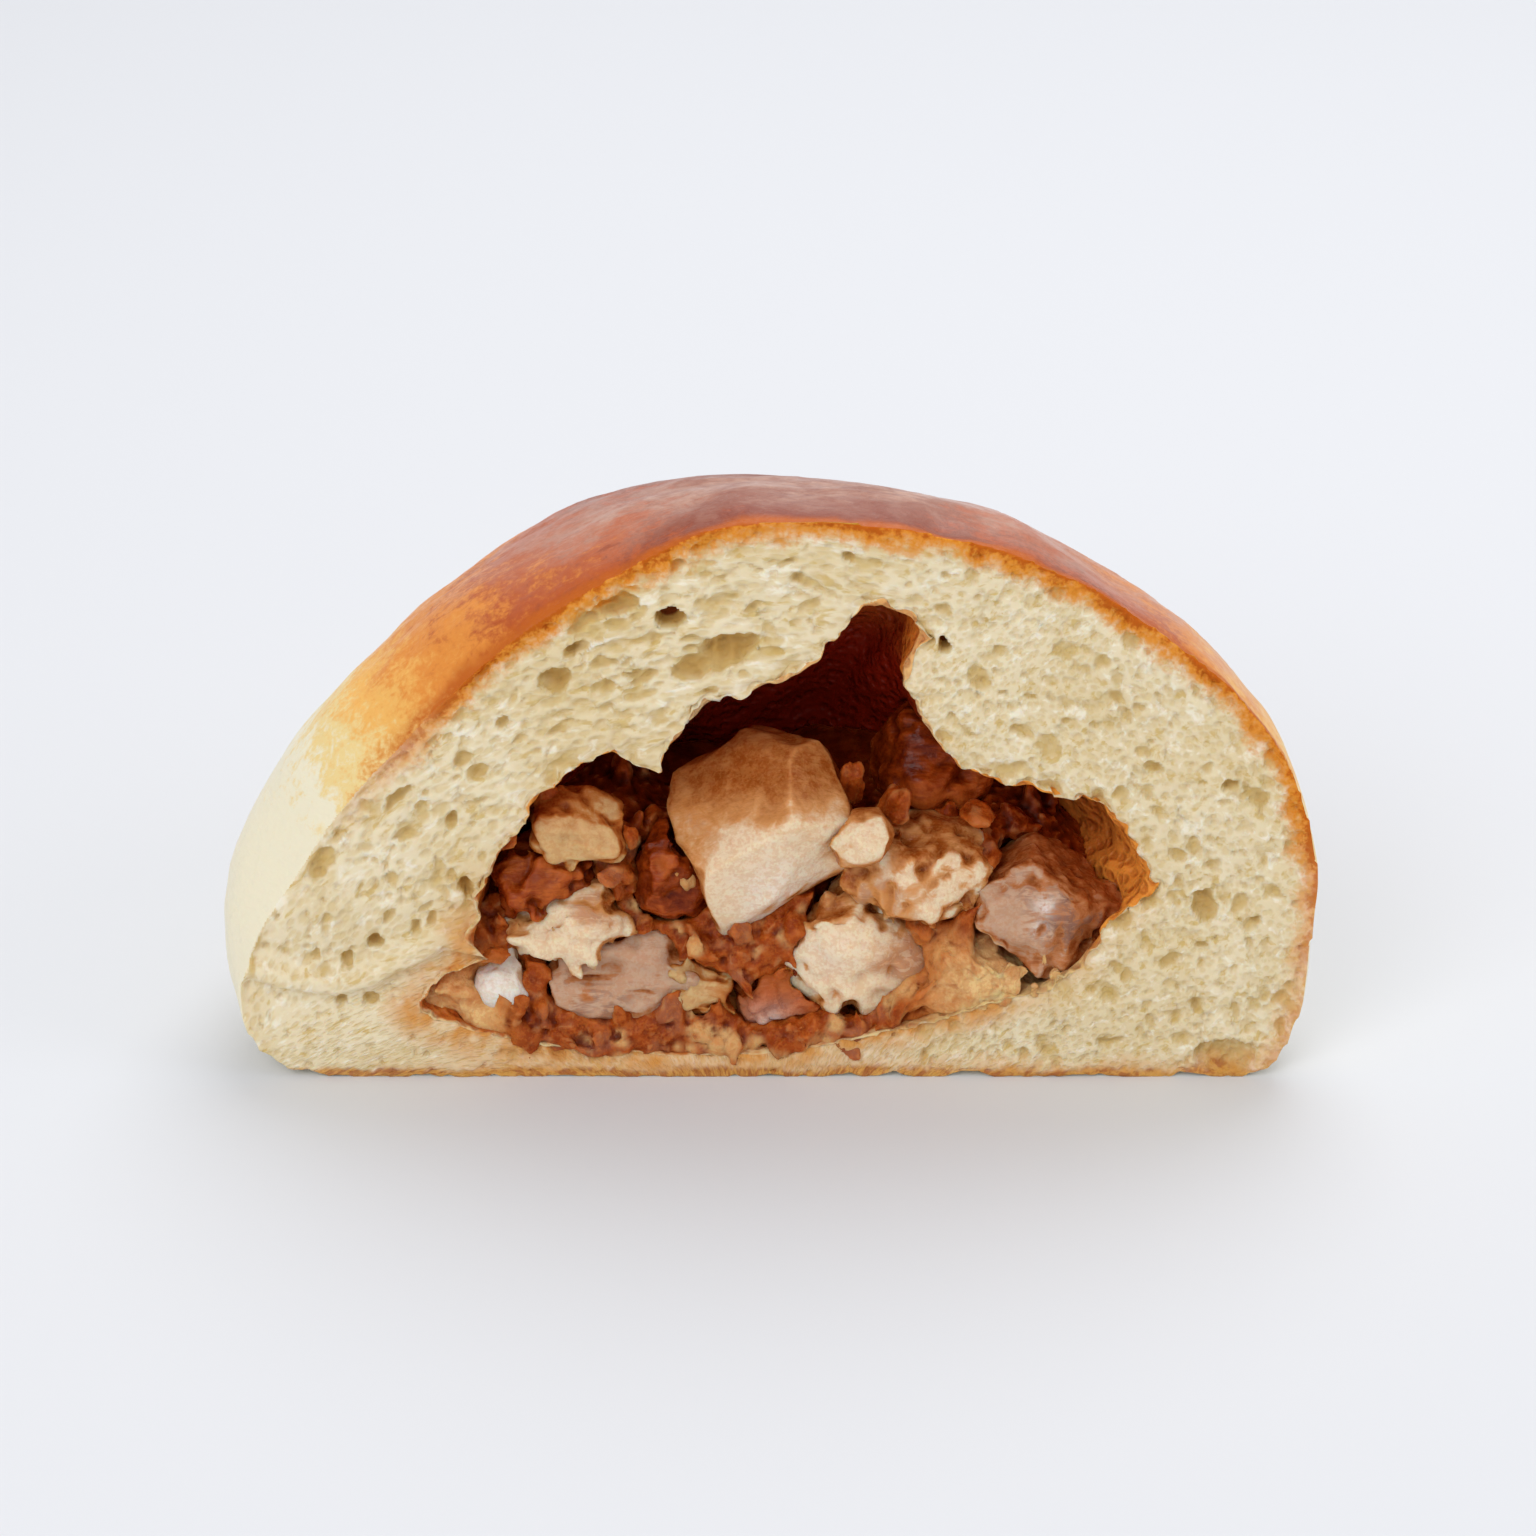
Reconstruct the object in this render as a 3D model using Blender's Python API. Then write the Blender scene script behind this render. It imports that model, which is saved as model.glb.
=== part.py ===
"""Half of a baked char siu bao, cut down the middle and standing on its flat base.

The cut face is the plane across the front, at -Y, and the crust dome is behind it. The dough is one solid with the
hollow that the filling leaves, the bound mince and sauce is a second solid low in that hollow, and each piece of
meat that shows as a piece of its own is a further solid, seated in the mince. Metres, +Z up, with the origin at the
middle of the base.
"""

import math
import random

import bmesh
import bpy
from mathutils import Euler, Vector, noise

MM = 0.001

# Driving dimensions of the half bun.
WIDTH = 105 * MM
DEPTH = 52 * MM
HEIGHT = 58.5 * MM
GAP = 0.35 * MM  # kept between neighbours that touch

# The dome. Its right shoulder is a plain ellipse, and its left one slopes more, as the dough sank there.
BASE_RIGHT = 0.87  # radius of the flat base over the bun's largest radius
BASE_LEFT = 0.80
BASE_BACK = 0.84
BELLY_RIGHT = 20 * MM  # height at which the right side is widest
BELLY_LEFT = 13 * MM
RIGHT_EXPONENT = 2.05
LEFT_EXPONENT = 1.6
CUT_SQUEEZE = 0.03  # the knife pressed the crust in by this share of the radius
SQUEEZE_REACH = 5 * MM
LEFT_ROLL = 0.11  # the left shoulder's soft edge rolls in further
LEFT_ROLL_REACH = 8 * MM
BACK_TAPER = 0.30  # the top and the right side draw in by this share, 100 mm behind the cut
TAPER_FROM = -26 * MM  # the taper grows from here
TAPER_TO = 6 * MM
LUMP_SIZE = 27 * MM
LUMP_HEIGHT = 1.0 * MM
CREASE_HEIGHT = 15 * MM  # the folded crease low on the back
CREASE_DEPTH = 0.7 * MM
CREASE_WIDTH = 2.2 * MM
SPIN_STEPS = 38
SIDE_RINGS = 5
DOME_RINGS = 16
BASE_RINGS = 2

# The hollow's torn rim in the plane of the cut: across and up, in millimetres, clockwise from its left tip.
HOLLOW_RIM = [
    (-33, 7.5), (-28.5, 12.5), (-26.8, 20), (-23, 27), (-19, 32), (-14.5, 34.5), (-10, 33.2),
    (-7.5, 37.5), (-2, 40.5), (3.5, 42.5), (7.5, 47), (11, 49.6), (15, 47.5), (13.4, 42.7),
    (15.5, 37.5), (19, 32.9), (24.5, 30.8), (30.5, 29.8), (34.5, 25.5), (37.2, 20), (33.0, 17.2),
    (29.4, 10.4), (23, 8.4), (15, 5.8), (5, 3.4), (-6, 2.6), (-16, 3.0), (-26, 4.6),
]  # fmt: skip
HOLLOW_DEPTH = 27 * MM
HOLLOW_MIDDLE = Vector((2 * MM, 0, 15 * MM))  # the hollow's section shrinks towards this point
HOLLOW_RINGS = 6
RIM_POINTS = 60
TEAR_SEED = 5
RIM_TEAR = 0.55 * MM
TEAR_SIZE = 2.6 * MM

# The mince: its top in the plane of the cut, as across and up in millimetres, left to right.
MINCE_TOP = [(-34, 10), (-27, 15), (-21, 21), (-14, 23), (-8, 20), (0, 19), (8, 21), (15, 23), (22, 21), (36, 14)]
MINCE_FRONT = 1.4 * MM  # how far behind the cut its front lies at the bottom
MINCE_LEAN = 0.24  # how much its front leans back, over the height
MINCE_RISE = 0.26  # how much its top rises towards the back, over the distance
MINCE_BUMP = 1.1 * MM
MINCE_BUMP_SIZE = 6 * MM
MINCE_COLUMNS = 21
MINCE_ROWS = 6
MINCE_STEPS = 4
MINCE_HALF_WIDTH = 40 * MM
MINCE_LENGTH = 30 * MM

# The pieces of meat: name, place (across, how far its front lies behind the cut, up), size and turn, in millimetres
# and degrees, then the facets cut on it, each as a direction and how far out it lies on a piece of radius 1.
PIECES = [
    ("pork_large_dice", (0.2, 0.5, 23.4), (16.5, 14.5, 16.2), (4, -20, 6),
     [((0.15, -0.8, -0.5), 0.84), ((-0.25, -0.5, 0.8), 0.8), ((-0.8, -0.3, -0.5), 0.88)]),
    ("pork_hooked_dice", (9.6, 0.9, 10.9), (13.6, 9.4, 11.8), (0, 26, 4),
     [((0.2, -0.6, 0.8), 0.9), ((0.7, -0.6, -0.3), 0.92)]),
    ("pork_corner_dice", (26.6, 0.8, 15.4), (13.2, 11.0, 12.6), (4, 30, -10),
     [((0.55, -0.8, 0.1), 0.86), ((-0.5, -0.6, 0.6), 0.9)]),
    ("pork_middle_dice", (14.1, 1.4, 19.3), (13.4, 10.6, 9.0), (-4, 8, 4),
     [((0.2, -0.7, 0.7), 0.9), ((-0.7, -0.6, -0.1), 0.92)]),
    ("pork_chip", (9.2, 0.5, 24.6), (6.4, 4.4, 5.0), (0, -28, -8), [((0.1, -0.7, 0.7), 0.85)]),
    ("pork_lean_dice", (-13.6, 1.1, 8.8), (14.4, 9.6, 8.8), (4, -8, -4),
     [((0.2, -0.8, 0.5), 0.88), ((0.8, -0.5, 0.2), 0.92)]),
    ("pork_pale_strip", (-19.0, 0.8, 14.2), (10.6, 7.6, 6.6), (-6, -26, 4),
     [((0.1, -0.8, 0.5), 0.9), ((-0.6, -0.6, -0.5), 0.9)]),
    ("pork_upper_dice", (-21.0, 1.8, 19.4), (9.8, 8.4, 6.8), (4, -20, 8), [((0.3, -0.8, 0.4), 0.9)]),
    ("pork_cream_dice", (-17.6, 1.9, 24.6), (8.6, 7.2, 5.8), (10, 10, -8), [((0.1, -0.6, 0.8), 0.85)]),
    ("pork_glazed_dice", (-8.8, 2.6, 19.0), (7.6, 8.2, 9.8), (6, 8, 16), [((0.4, -0.8, 0.4), 0.9)]),
    ("pork_low_dice", (1.4, 1.2, 7.0), (9.0, 7.0, 5.4), (0, -12, 8), [((0.3, -0.8, 0.4), 0.9)]),
    ("pork_crumbled_dice", (-5.4, 1.6, 8.0), (6.8, 6.2, 5.8), (0, 14, -6), [((-0.2, -0.8, 0.4), 0.9)]),
    ("pork_back_dice", (16.6, 9.8, 26.8), (10.6, 9.6, 9.8), (10, 16, 24), [((0.1, -0.7, 0.6), 0.9)]),
    ("pork_fat", (-25.2, 1.0, 9.0), (5.4, 4.6, 4.8), (0, -24, 0), []),
]  # fmt: skip
DICE_POWER = 10  # how sharp the edges between facets are
DICE_ROUGHNESS = 0.06
DICE_GRAIN = 0.55
EXTRA_FACETS = 3
FINE_DICE = 10 * MM  # pieces longer than this have the finer surface

COLOURS = {  # colour and roughness
    "dough": ((0.62, 0.33, 0.11), 0.45),
    "mince": ((0.30, 0.10, 0.035), 0.40),
    "meat": ((0.52, 0.29, 0.17), 0.55),
    "fat": ((0.72, 0.60, 0.50), 0.40),
}


def clear_scene():
    for obj in list(bpy.data.objects):
        bpy.data.objects.remove(obj)


def finish(name):
    """The material of one kind of surface."""
    material = bpy.data.materials.get(name) or bpy.data.materials.new(name)
    material.use_nodes = True
    shader = material.node_tree.nodes["Principled BSDF"]
    rgb, roughness = COLOURS[name]
    shader.inputs["Base Color"].default_value = (*rgb, 1)
    shader.inputs["Roughness"].default_value = roughness
    shader.inputs["Metallic"].default_value = 0
    return material


def to_object(name, bm, colour=None):
    """A bmesh as an object, with its faces pointing out."""
    bmesh.ops.recalc_face_normals(bm, faces=bm.faces)
    mesh = bpy.data.meshes.new(name)
    bm.to_mesh(mesh)
    bm.free()
    obj = bpy.data.objects.new(name, mesh)
    bpy.context.scene.collection.objects.link(obj)
    if colour:
        mesh.materials.append(finish(colour))
    return obj


def as_cutter(obj):
    obj.hide_render = True
    obj.display_type = "WIRE"
    return obj


def combine(obj, other, operation):
    modifier = obj.modifiers.new(f"{operation.lower()} {other.name}", "BOOLEAN")
    modifier.operation = operation
    modifier.object = other
    modifier.solver = "EXACT"


def united(name, solids):
    """One hidden solid out of several that overlap."""
    whole = as_cutter(bpy.data.objects.new(name, solids[0].data))
    bpy.context.scene.collection.objects.link(whole)
    for solid in solids[1:]:
        combine(whole, solid, "UNION")
    return whole


def grown(obj, distance):
    """A hidden copy of obj with its surface moved out by distance."""
    bm = bmesh.new()
    bm.from_mesh(obj.data)
    bm.normal_update()
    moves = [(v, v.normal * distance * v.calc_shell_factor()) for v in bm.verts]
    for vert, move in moves:
        vert.co += move
    return as_cutter(to_object(f"{obj.name}_room", bm))


def closed_curve(points, count):
    """count points along a smooth closed curve through the given (across, up) points."""
    n = len(points)
    knots = [Vector(p) for p in points]
    found = []
    for i in range(count):
        place = i * n / count
        k = int(place)
        t = place - k
        a, b, c, d = (knots[(k + j) % n] for j in (-1, 0, 1, 2))
        found.append(
            0.5 * (2 * b + (c - a) * t + (2 * a - 5 * b + 4 * c - d) * t**2 + (3 * b - a - 3 * c + d) * t**3)
        )
    return found


def height_on(line, across):
    """The height of a broken line of (across, up) points at one place across, with its corners eased."""
    for (x0, z0), (x1, z1) in zip(line, line[1:]):
        if across <= x1:
            t = min(1, max(0, (across - x0) / (x1 - x0)))
            return z0 + (z1 - z0) * t * t * (3 - 2 * t)
    return line[-1][1]


def sides(turn):
    """How much a place turned about Z belongs to the left and to the right end of the bun, each from 0 to 1."""
    return max(0.0, -math.cos(turn)) ** 1.5, max(0.0, math.cos(turn)) ** 1.5


def shape_dome(point):
    """Carries a point of the round model profile, turned about Z, to its place on the bun.

    The profile's radius runs from 0 to 1. Its height runs from -1 at the base to 0 at the belly and 1 at the top.
    """
    radius = math.hypot(point.x, point.y)
    turn = math.atan2(max(0.0, point.y), point.x)
    left, right = sides(turn)
    belly = BELLY_RIGHT + (BELLY_LEFT - BELLY_RIGHT) * left
    if point.z < 0:
        height = belly * (1 + point.z)
        share = BASE_BACK + (BASE_LEFT - BASE_BACK) * left + (BASE_RIGHT - BASE_BACK) * right
        if radius <= BASE_BACK:
            radius *= share / BASE_BACK
        else:
            radius = share + (radius - BASE_BACK) / (1 - BASE_BACK) * (1 - share)
    else:
        power = 2 / (RIGHT_EXPONENT + (LEFT_EXPONENT - RIGHT_EXPONENT) * left)
        angle = math.atan2(point.z, radius)
        radius = max(0.0, math.cos(angle)) ** power
        height = belly + (HEIGHT - belly) * math.sin(angle) ** power
    place = Vector((math.cos(turn) * radius * WIDTH / 2, math.sin(turn) * radius * DEPTH, height))
    if radius < 1e-6 or height < 1e-6:
        return place
    out = Vector((place.x, place.y, max(0.0, height - belly))).normalized()
    lump = noise.noise(place / LUMP_SIZE + Vector((3.1, 7.7, 1.3))) * LUMP_HEIGHT
    crease_line = CREASE_HEIGHT + 5 * MM * math.sin(2.2 * turn)
    in_crease = math.exp(-(((height - crease_line) / CREASE_WIDTH) ** 2))
    crease = CREASE_DEPTH * in_crease * max(0.0, math.sin(1.4 * turn)) ** 2
    return place + out * (lump - crease) * min(1, height / (6 * MM))


def squeeze(place):
    """Presses the crust in towards the cut's middle close behind the knife, and rolls the left shoulder in."""
    middle = HEIGHT * 0.4
    rise = min(1, place.z / BELLY_LEFT)
    leftness = min(1.0, max(0.0, -place.x / (WIDTH / 2) - 0.1) / 0.6)
    share = CUT_SQUEEZE * math.exp(-((place.y / SQUEEZE_REACH) ** 2))
    share += LEFT_ROLL * leftness * max(0.0, 1 - place.y / LEFT_ROLL_REACH) ** 2 * min(1, place.z / middle)
    rightness = min(1.0, max(0.0, (place.x - TAPER_FROM) / (TAPER_TO - TAPER_FROM)))
    share += BACK_TAPER * place.y / (100 * MM) * rightness * rightness * (3 - 2 * rightness)
    return Vector((place.x * (1 - share * rise), place.y, place.z - (place.z - middle * 0.5) * share * rise**2))


def fit_to_box(bm):
    """Gives the half bun exactly its driving width, depth and height, with the cut at Y = 0 and the base at Z = 0."""
    low = Vector(min(v.co[i] for v in bm.verts) for i in range(3))
    high = Vector(max(v.co[i] for v in bm.verts) for i in range(3))
    size = high - low
    for v in bm.verts:
        v.co.x = ((v.co.x - low.x) / size.x - 0.5) * WIDTH
        v.co.y = v.co.y / high.y * DEPTH
        v.co.z = v.co.z / high.z * HEIGHT


def half_bun():
    """The uncut half: a profile spun half a turn about Z, then shaped, with the cut and the base closed."""
    bm = bmesh.new()
    profile = [(BASE_BACK * i / BASE_RINGS, -1.0) for i in range(BASE_RINGS)]
    for i in range(SIDE_RINGS):
        angle = math.pi / 2 * i / SIDE_RINGS
        profile.append((BASE_BACK + (1 - BASE_BACK) * math.sin(angle), -math.cos(angle)))
    for i in range(DOME_RINGS + 1):
        angle = math.pi / 2 * i / DOME_RINGS
        profile.append((max(0.0, math.cos(angle)), math.sin(angle)))
    verts = [bm.verts.new((r, 0, z)) for r, z in profile]
    edges = [bm.edges.new(pair) for pair in zip(verts, verts[1:])]
    bmesh.ops.spin(
        bm, geom=verts + edges, cent=(0, 0, 0), axis=(0, 0, 1), angle=math.pi, steps=SPIN_STEPS, use_duplicate=False
    )
    bmesh.ops.remove_doubles(bm, verts=bm.verts, dist=1e-5)
    for v in bm.verts:
        v.co = squeeze(shape_dome(v.co))
    fit_to_box(bm)
    rim = [e for e in bm.edges if e.is_boundary]
    bmesh.ops.contextual_create(bm, geom=rim)
    bmesh.ops.translate(bm, verts=bm.verts, vec=(0, -DEPTH / 2, 0))
    return to_object("dough", bm, "dough")


def hollow(name, inset=0.0):
    """The cutter for the hollow: its torn rim at the cut, drawn back and shrinking to a blunt end.

    With an inset it is smaller by that much all round, which is the room for what lies in the hollow.
    """
    rim, tears = [], []
    for p in closed_curve(HOLLOW_RIM, RIM_POINTS):
        tear = noise.noise_vector(Vector((p.x, p.y, 0)) * MM / TEAR_SIZE) * RIM_TEAR
        rim.append(Vector((p.x * MM, 0, p.y * MM)))
        tears.append(Vector((tear.x, 0, tear.y)))
    ways = [(rim[i - 1] - rim[(i + 1) % RIM_POINTS]).normalized() for i in range(RIM_POINTS)]
    inwards = [Vector((way.z, 0, -way.x)) for way in ways]
    if sum((a - HOLLOW_MIDDLE).dot(n) for a, n in zip(rim, inwards)) > 0:
        inwards = [-n for n in inwards]

    def place(ring, scale, behind):
        for v, p, tear, n in zip(ring, rim, tears, inwards):
            v.co = HOLLOW_MIDDLE + (p - HOLLOW_MIDDLE) * scale + tear * scale**3 + n * inset * scale**0.5
            v.co.y = behind - DEPTH / 2

    bm = bmesh.new()
    rings = [[bm.verts.new() for _ in rim] for _ in range(HOLLOW_RINGS + 2)]
    place(rings[0], 1.0, -4 * MM)
    for i, ring in enumerate(rings[1:]):
        angle = math.pi / 2 * i / (HOLLOW_RINGS + 0.9)
        place(ring, math.cos(angle) ** 0.8, math.sin(angle) * (HOLLOW_DEPTH - 2 * inset))
    loops = [[bm.edges.new((a, b)) for a, b in zip(ring, ring[1:] + ring[:1])] for ring in rings]
    for near_loop, far_loop in zip(loops, loops[1:]):
        for a, b in zip(near_loop, far_loop):
            bm.faces.new((a.verts[0], a.verts[1], b.verts[1], b.verts[0]))
    for end in (rings[0], rings[-1]):
        bm.faces.new(end)
    return as_cutter(to_object(name, bm))


def mince_heap():
    """The mince before the hollow trims it: its uneven front, drawn back in steps while its top rises."""
    bm = bmesh.new()
    bmesh.ops.create_grid(bm, x_segments=MINCE_COLUMNS, y_segments=MINCE_ROWS, size=1)
    face = list(bm.faces)
    for v in bm.verts:
        across, share = v.co.x * MINCE_HALF_WIDTH, (v.co.y + 1) / 2
        up = share * height_on(MINCE_TOP, across / MM) * MM
        bump = noise.noise(Vector((across, 0, up)) / MINCE_BUMP_SIZE + Vector((5.5, 2.5, 0))) * MINCE_BUMP
        v.co = Vector((across, MINCE_FRONT + MINCE_LEAN * up + bump - DEPTH / 2, up))
    step = MINCE_LENGTH / MINCE_STEPS
    for i in range(MINCE_STEPS):
        made = bmesh.ops.extrude_face_region(bm, geom=face)
        if i:
            bmesh.ops.delete(bm, geom=face, context="FACES")
        face = [g for g in made["geom"] if isinstance(g, bmesh.types.BMFace)]
        for v in {v for f in face for v in f.verts}:
            top = height_on(MINCE_TOP, v.co.x / MM) * MM
            bump = noise.noise((v.co + Vector((0, step, 0))) / MINCE_BUMP_SIZE) * MINCE_BUMP
            v.co.y += step
            v.co.z += (step * MINCE_RISE + bump * 0.7) * v.co.z / (top + i * step * MINCE_RISE)
    return to_object("mince", bm, "mince")


def meat_piece(name, place, size, turn, cuts):
    """A diced piece: a ball cut by facets with worn edges, roughened, and turned into place."""
    own = random.Random(name)
    facets = [(Vector(v), 1.0) for v in ((1, 0, 0), (-1, 0, 0), (0, 1, 0), (0, -1, 0), (0, 0, 1), (0, 0, -1))]
    facets += [(Vector(v).normalized(), out) for v, out in cuts]
    for _ in range(EXTRA_FACETS):
        way = Vector((own.uniform(-1, 1), own.uniform(-1, 1), own.uniform(-1, 1))).normalized()
        facets.append((way, own.uniform(0.95, 1.1)))
    bm = bmesh.new()
    bmesh.ops.create_icosphere(bm, subdivisions=3 if max(size) * MM > FINE_DICE else 2, radius=1)
    shift = Vector(place)
    for v in bm.verts:
        way = v.co.normalized()
        length = sum((max(0.0, way.dot(n)) / out) ** DICE_POWER for n, out in facets) ** (-1 / DICE_POWER)
        rough = noise.noise(way / DICE_GRAIN + shift) * DICE_ROUGHNESS * 2
        v.co = way * min(1.25, length) * (1 + rough)
    bmesh.ops.scale(bm, verts=bm.verts, vec=Vector(size) * MM / 2)
    angles = Euler([math.radians(a) for a in turn])
    bmesh.ops.rotate(bm, verts=bm.verts, cent=(0, 0, 0), matrix=angles.to_matrix())
    front = min(v.co.y for v in bm.verts)
    across, behind, up = (c * MM for c in place)
    bmesh.ops.translate(bm, verts=bm.verts, vec=(across, behind - front - DEPTH / 2, up))
    return to_object(name, bm, "fat" if name == "pork_fat" else "meat")


def near(one, other):
    """Whether the boxes round two objects' own meshes come within a gap of one another."""
    boxes = []
    for obj in (one, other):
        corners = [v.co for v in obj.data.vertices]
        boxes.append([(min(c[i] for c in corners) - GAP, max(c[i] for c in corners) + GAP) for i in range(3)])
    return all(a[0] < b[1] and b[0] < a[1] for a, b in zip(*boxes))


clear_scene()
noise.seed_set(TEAR_SEED)
dough = half_bun()
mince = mince_heap()
combine(dough, hollow("hollow"), "DIFFERENCE")
combine(mince, hollow("hollow_room", GAP), "INTERSECT")
seated = []
for spec in PIECES:
    piece = meat_piece(*spec)
    room = grown(piece, GAP)
    for other, other_room in seated:
        if near(piece, other):
            combine(piece, other_room, "DIFFERENCE")
    seated.append((piece, room))
rooms = united("rooms", [room for _, room in seated])
combine(mince, rooms, "DIFFERENCE")
combine(dough, rooms, "DIFFERENCE")
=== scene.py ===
import math
import random

import bmesh
import bpy
import numpy as np
from mathutils import Euler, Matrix, Vector, kdtree, noise
from mathutils.bvhtree import BVHTree


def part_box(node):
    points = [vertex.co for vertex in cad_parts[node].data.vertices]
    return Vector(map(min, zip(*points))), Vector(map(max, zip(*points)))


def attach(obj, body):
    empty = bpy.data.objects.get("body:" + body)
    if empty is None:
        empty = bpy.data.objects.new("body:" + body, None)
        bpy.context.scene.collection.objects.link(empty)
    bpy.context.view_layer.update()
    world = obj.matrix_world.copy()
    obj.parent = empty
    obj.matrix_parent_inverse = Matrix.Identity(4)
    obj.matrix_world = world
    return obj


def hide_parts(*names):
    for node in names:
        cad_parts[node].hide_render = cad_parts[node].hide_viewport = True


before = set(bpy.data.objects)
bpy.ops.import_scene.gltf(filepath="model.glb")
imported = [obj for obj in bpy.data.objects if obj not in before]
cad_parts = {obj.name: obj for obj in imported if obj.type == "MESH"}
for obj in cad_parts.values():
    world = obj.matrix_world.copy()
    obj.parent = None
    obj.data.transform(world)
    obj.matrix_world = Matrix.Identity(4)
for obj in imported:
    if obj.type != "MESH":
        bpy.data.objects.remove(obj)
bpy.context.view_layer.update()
mm = 0.001
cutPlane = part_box("dough")[0].y  # the cut faces -Y
bunMiddle = Vector((2, -14, 18)) * mm  # a point inside the hollow
print("frame loaded, cut plane at", round(cutPlane / mm, 2), "mm")


def toLinear(*levels):
    # display levels from 0 to 255 to a linear colour
    line = [((c / 255 + 0.055) / 1.055) ** 2.4 if c > 10 else c / 255 / 12.92 for c in levels]
    return tuple(line) + (1.0,)


def inLinear(look):
    # the same look with its colours made linear
    return {key: toLinear(*item) if isinstance(item, tuple) else item for key, item in look.items()}


def newObject(name, bm):
    mesh = bpy.data.meshes.new(name)
    bm.to_mesh(mesh)
    bm.free()
    obj = bpy.data.objects.new(name, mesh)
    bpy.context.scene.collection.objects.link(obj)
    return obj


def solidCopy(node, name):
    bm = bmesh.new()
    bm.from_mesh(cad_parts[node].data)
    bmesh.ops.remove_doubles(bm, verts=bm.verts, dist=2e-5)
    return newObject(name, bm)


def evenSkin(obj, voxel):
    # an even skin of small faces all over
    remesh = obj.modifiers.new("even", "REMESH")
    remesh.mode = "VOXEL"
    remesh.voxel_size = voxel
    graph = bpy.context.evaluated_depsgraph_get()
    graph.update()
    mesh = bpy.data.meshes.new_from_object(obj.evaluated_get(graph))
    obj.modifiers.clear()
    obj.data = mesh


def smoothStep(low, high, value):
    t = np.clip((value - low) / (high - low), 0, 1)
    return t * t * (3 - 2 * t)


def bumpAt(point, size, shift=0.0):
    return noise.noise(point / size + Vector((shift, shift * 1.7, -shift)))


def readPoints(mesh, what="co"):
    values = np.empty(len(mesh.vertices) * 3, dtype=np.float32)
    mesh.vertices.foreach_get(what, values)
    return values.reshape(-1, 3).astype(float)


def writePoints(mesh, points):
    mesh.vertices.foreach_set("co", np.asarray(points, dtype=np.float32).ravel())
    mesh.update()


def edgePairs(mesh):
    pairs = np.empty(len(mesh.edges) * 2, dtype=np.int32)
    mesh.edges.foreach_get("vertices", pairs)
    return pairs.reshape(-1, 2)


def spreadOut(values, pairs, rounds):
    # each point takes the mean of itself and its neighbours
    values = np.asarray(values, dtype=float)
    for _ in range(rounds):
        total, count = values.copy(), np.ones(len(values))
        for a, b in ((0, 1), (1, 0)):
            np.add.at(total, pairs[:, a], values[pairs[:, b]])
            np.add.at(count, pairs[:, a], 1)
        values = total / (count[:, None] if values.ndim > 1 else count)
    return values


def valleyOf(places, normals, pairs, rounds):
    # how far each point lies below its surroundings, in mm
    return ((spreadOut(places, pairs, rounds) - places) * normals).sum(1) / mm


def treeOf(places, marks=None):
    # finds the nearest of the places, each known by its mark or its number
    tree = kdtree.KDTree(len(places))
    for mark, place in zip(marks or range(len(places)), places):
        tree.insert(place, mark)
    tree.balance()
    return tree


def addValues(mesh, name, values):
    layer = mesh.attributes.get(name) or mesh.attributes.new(name, "FLOAT", "POINT")
    layer.data.foreach_set("value", np.asarray(values, dtype=np.float32))


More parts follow.
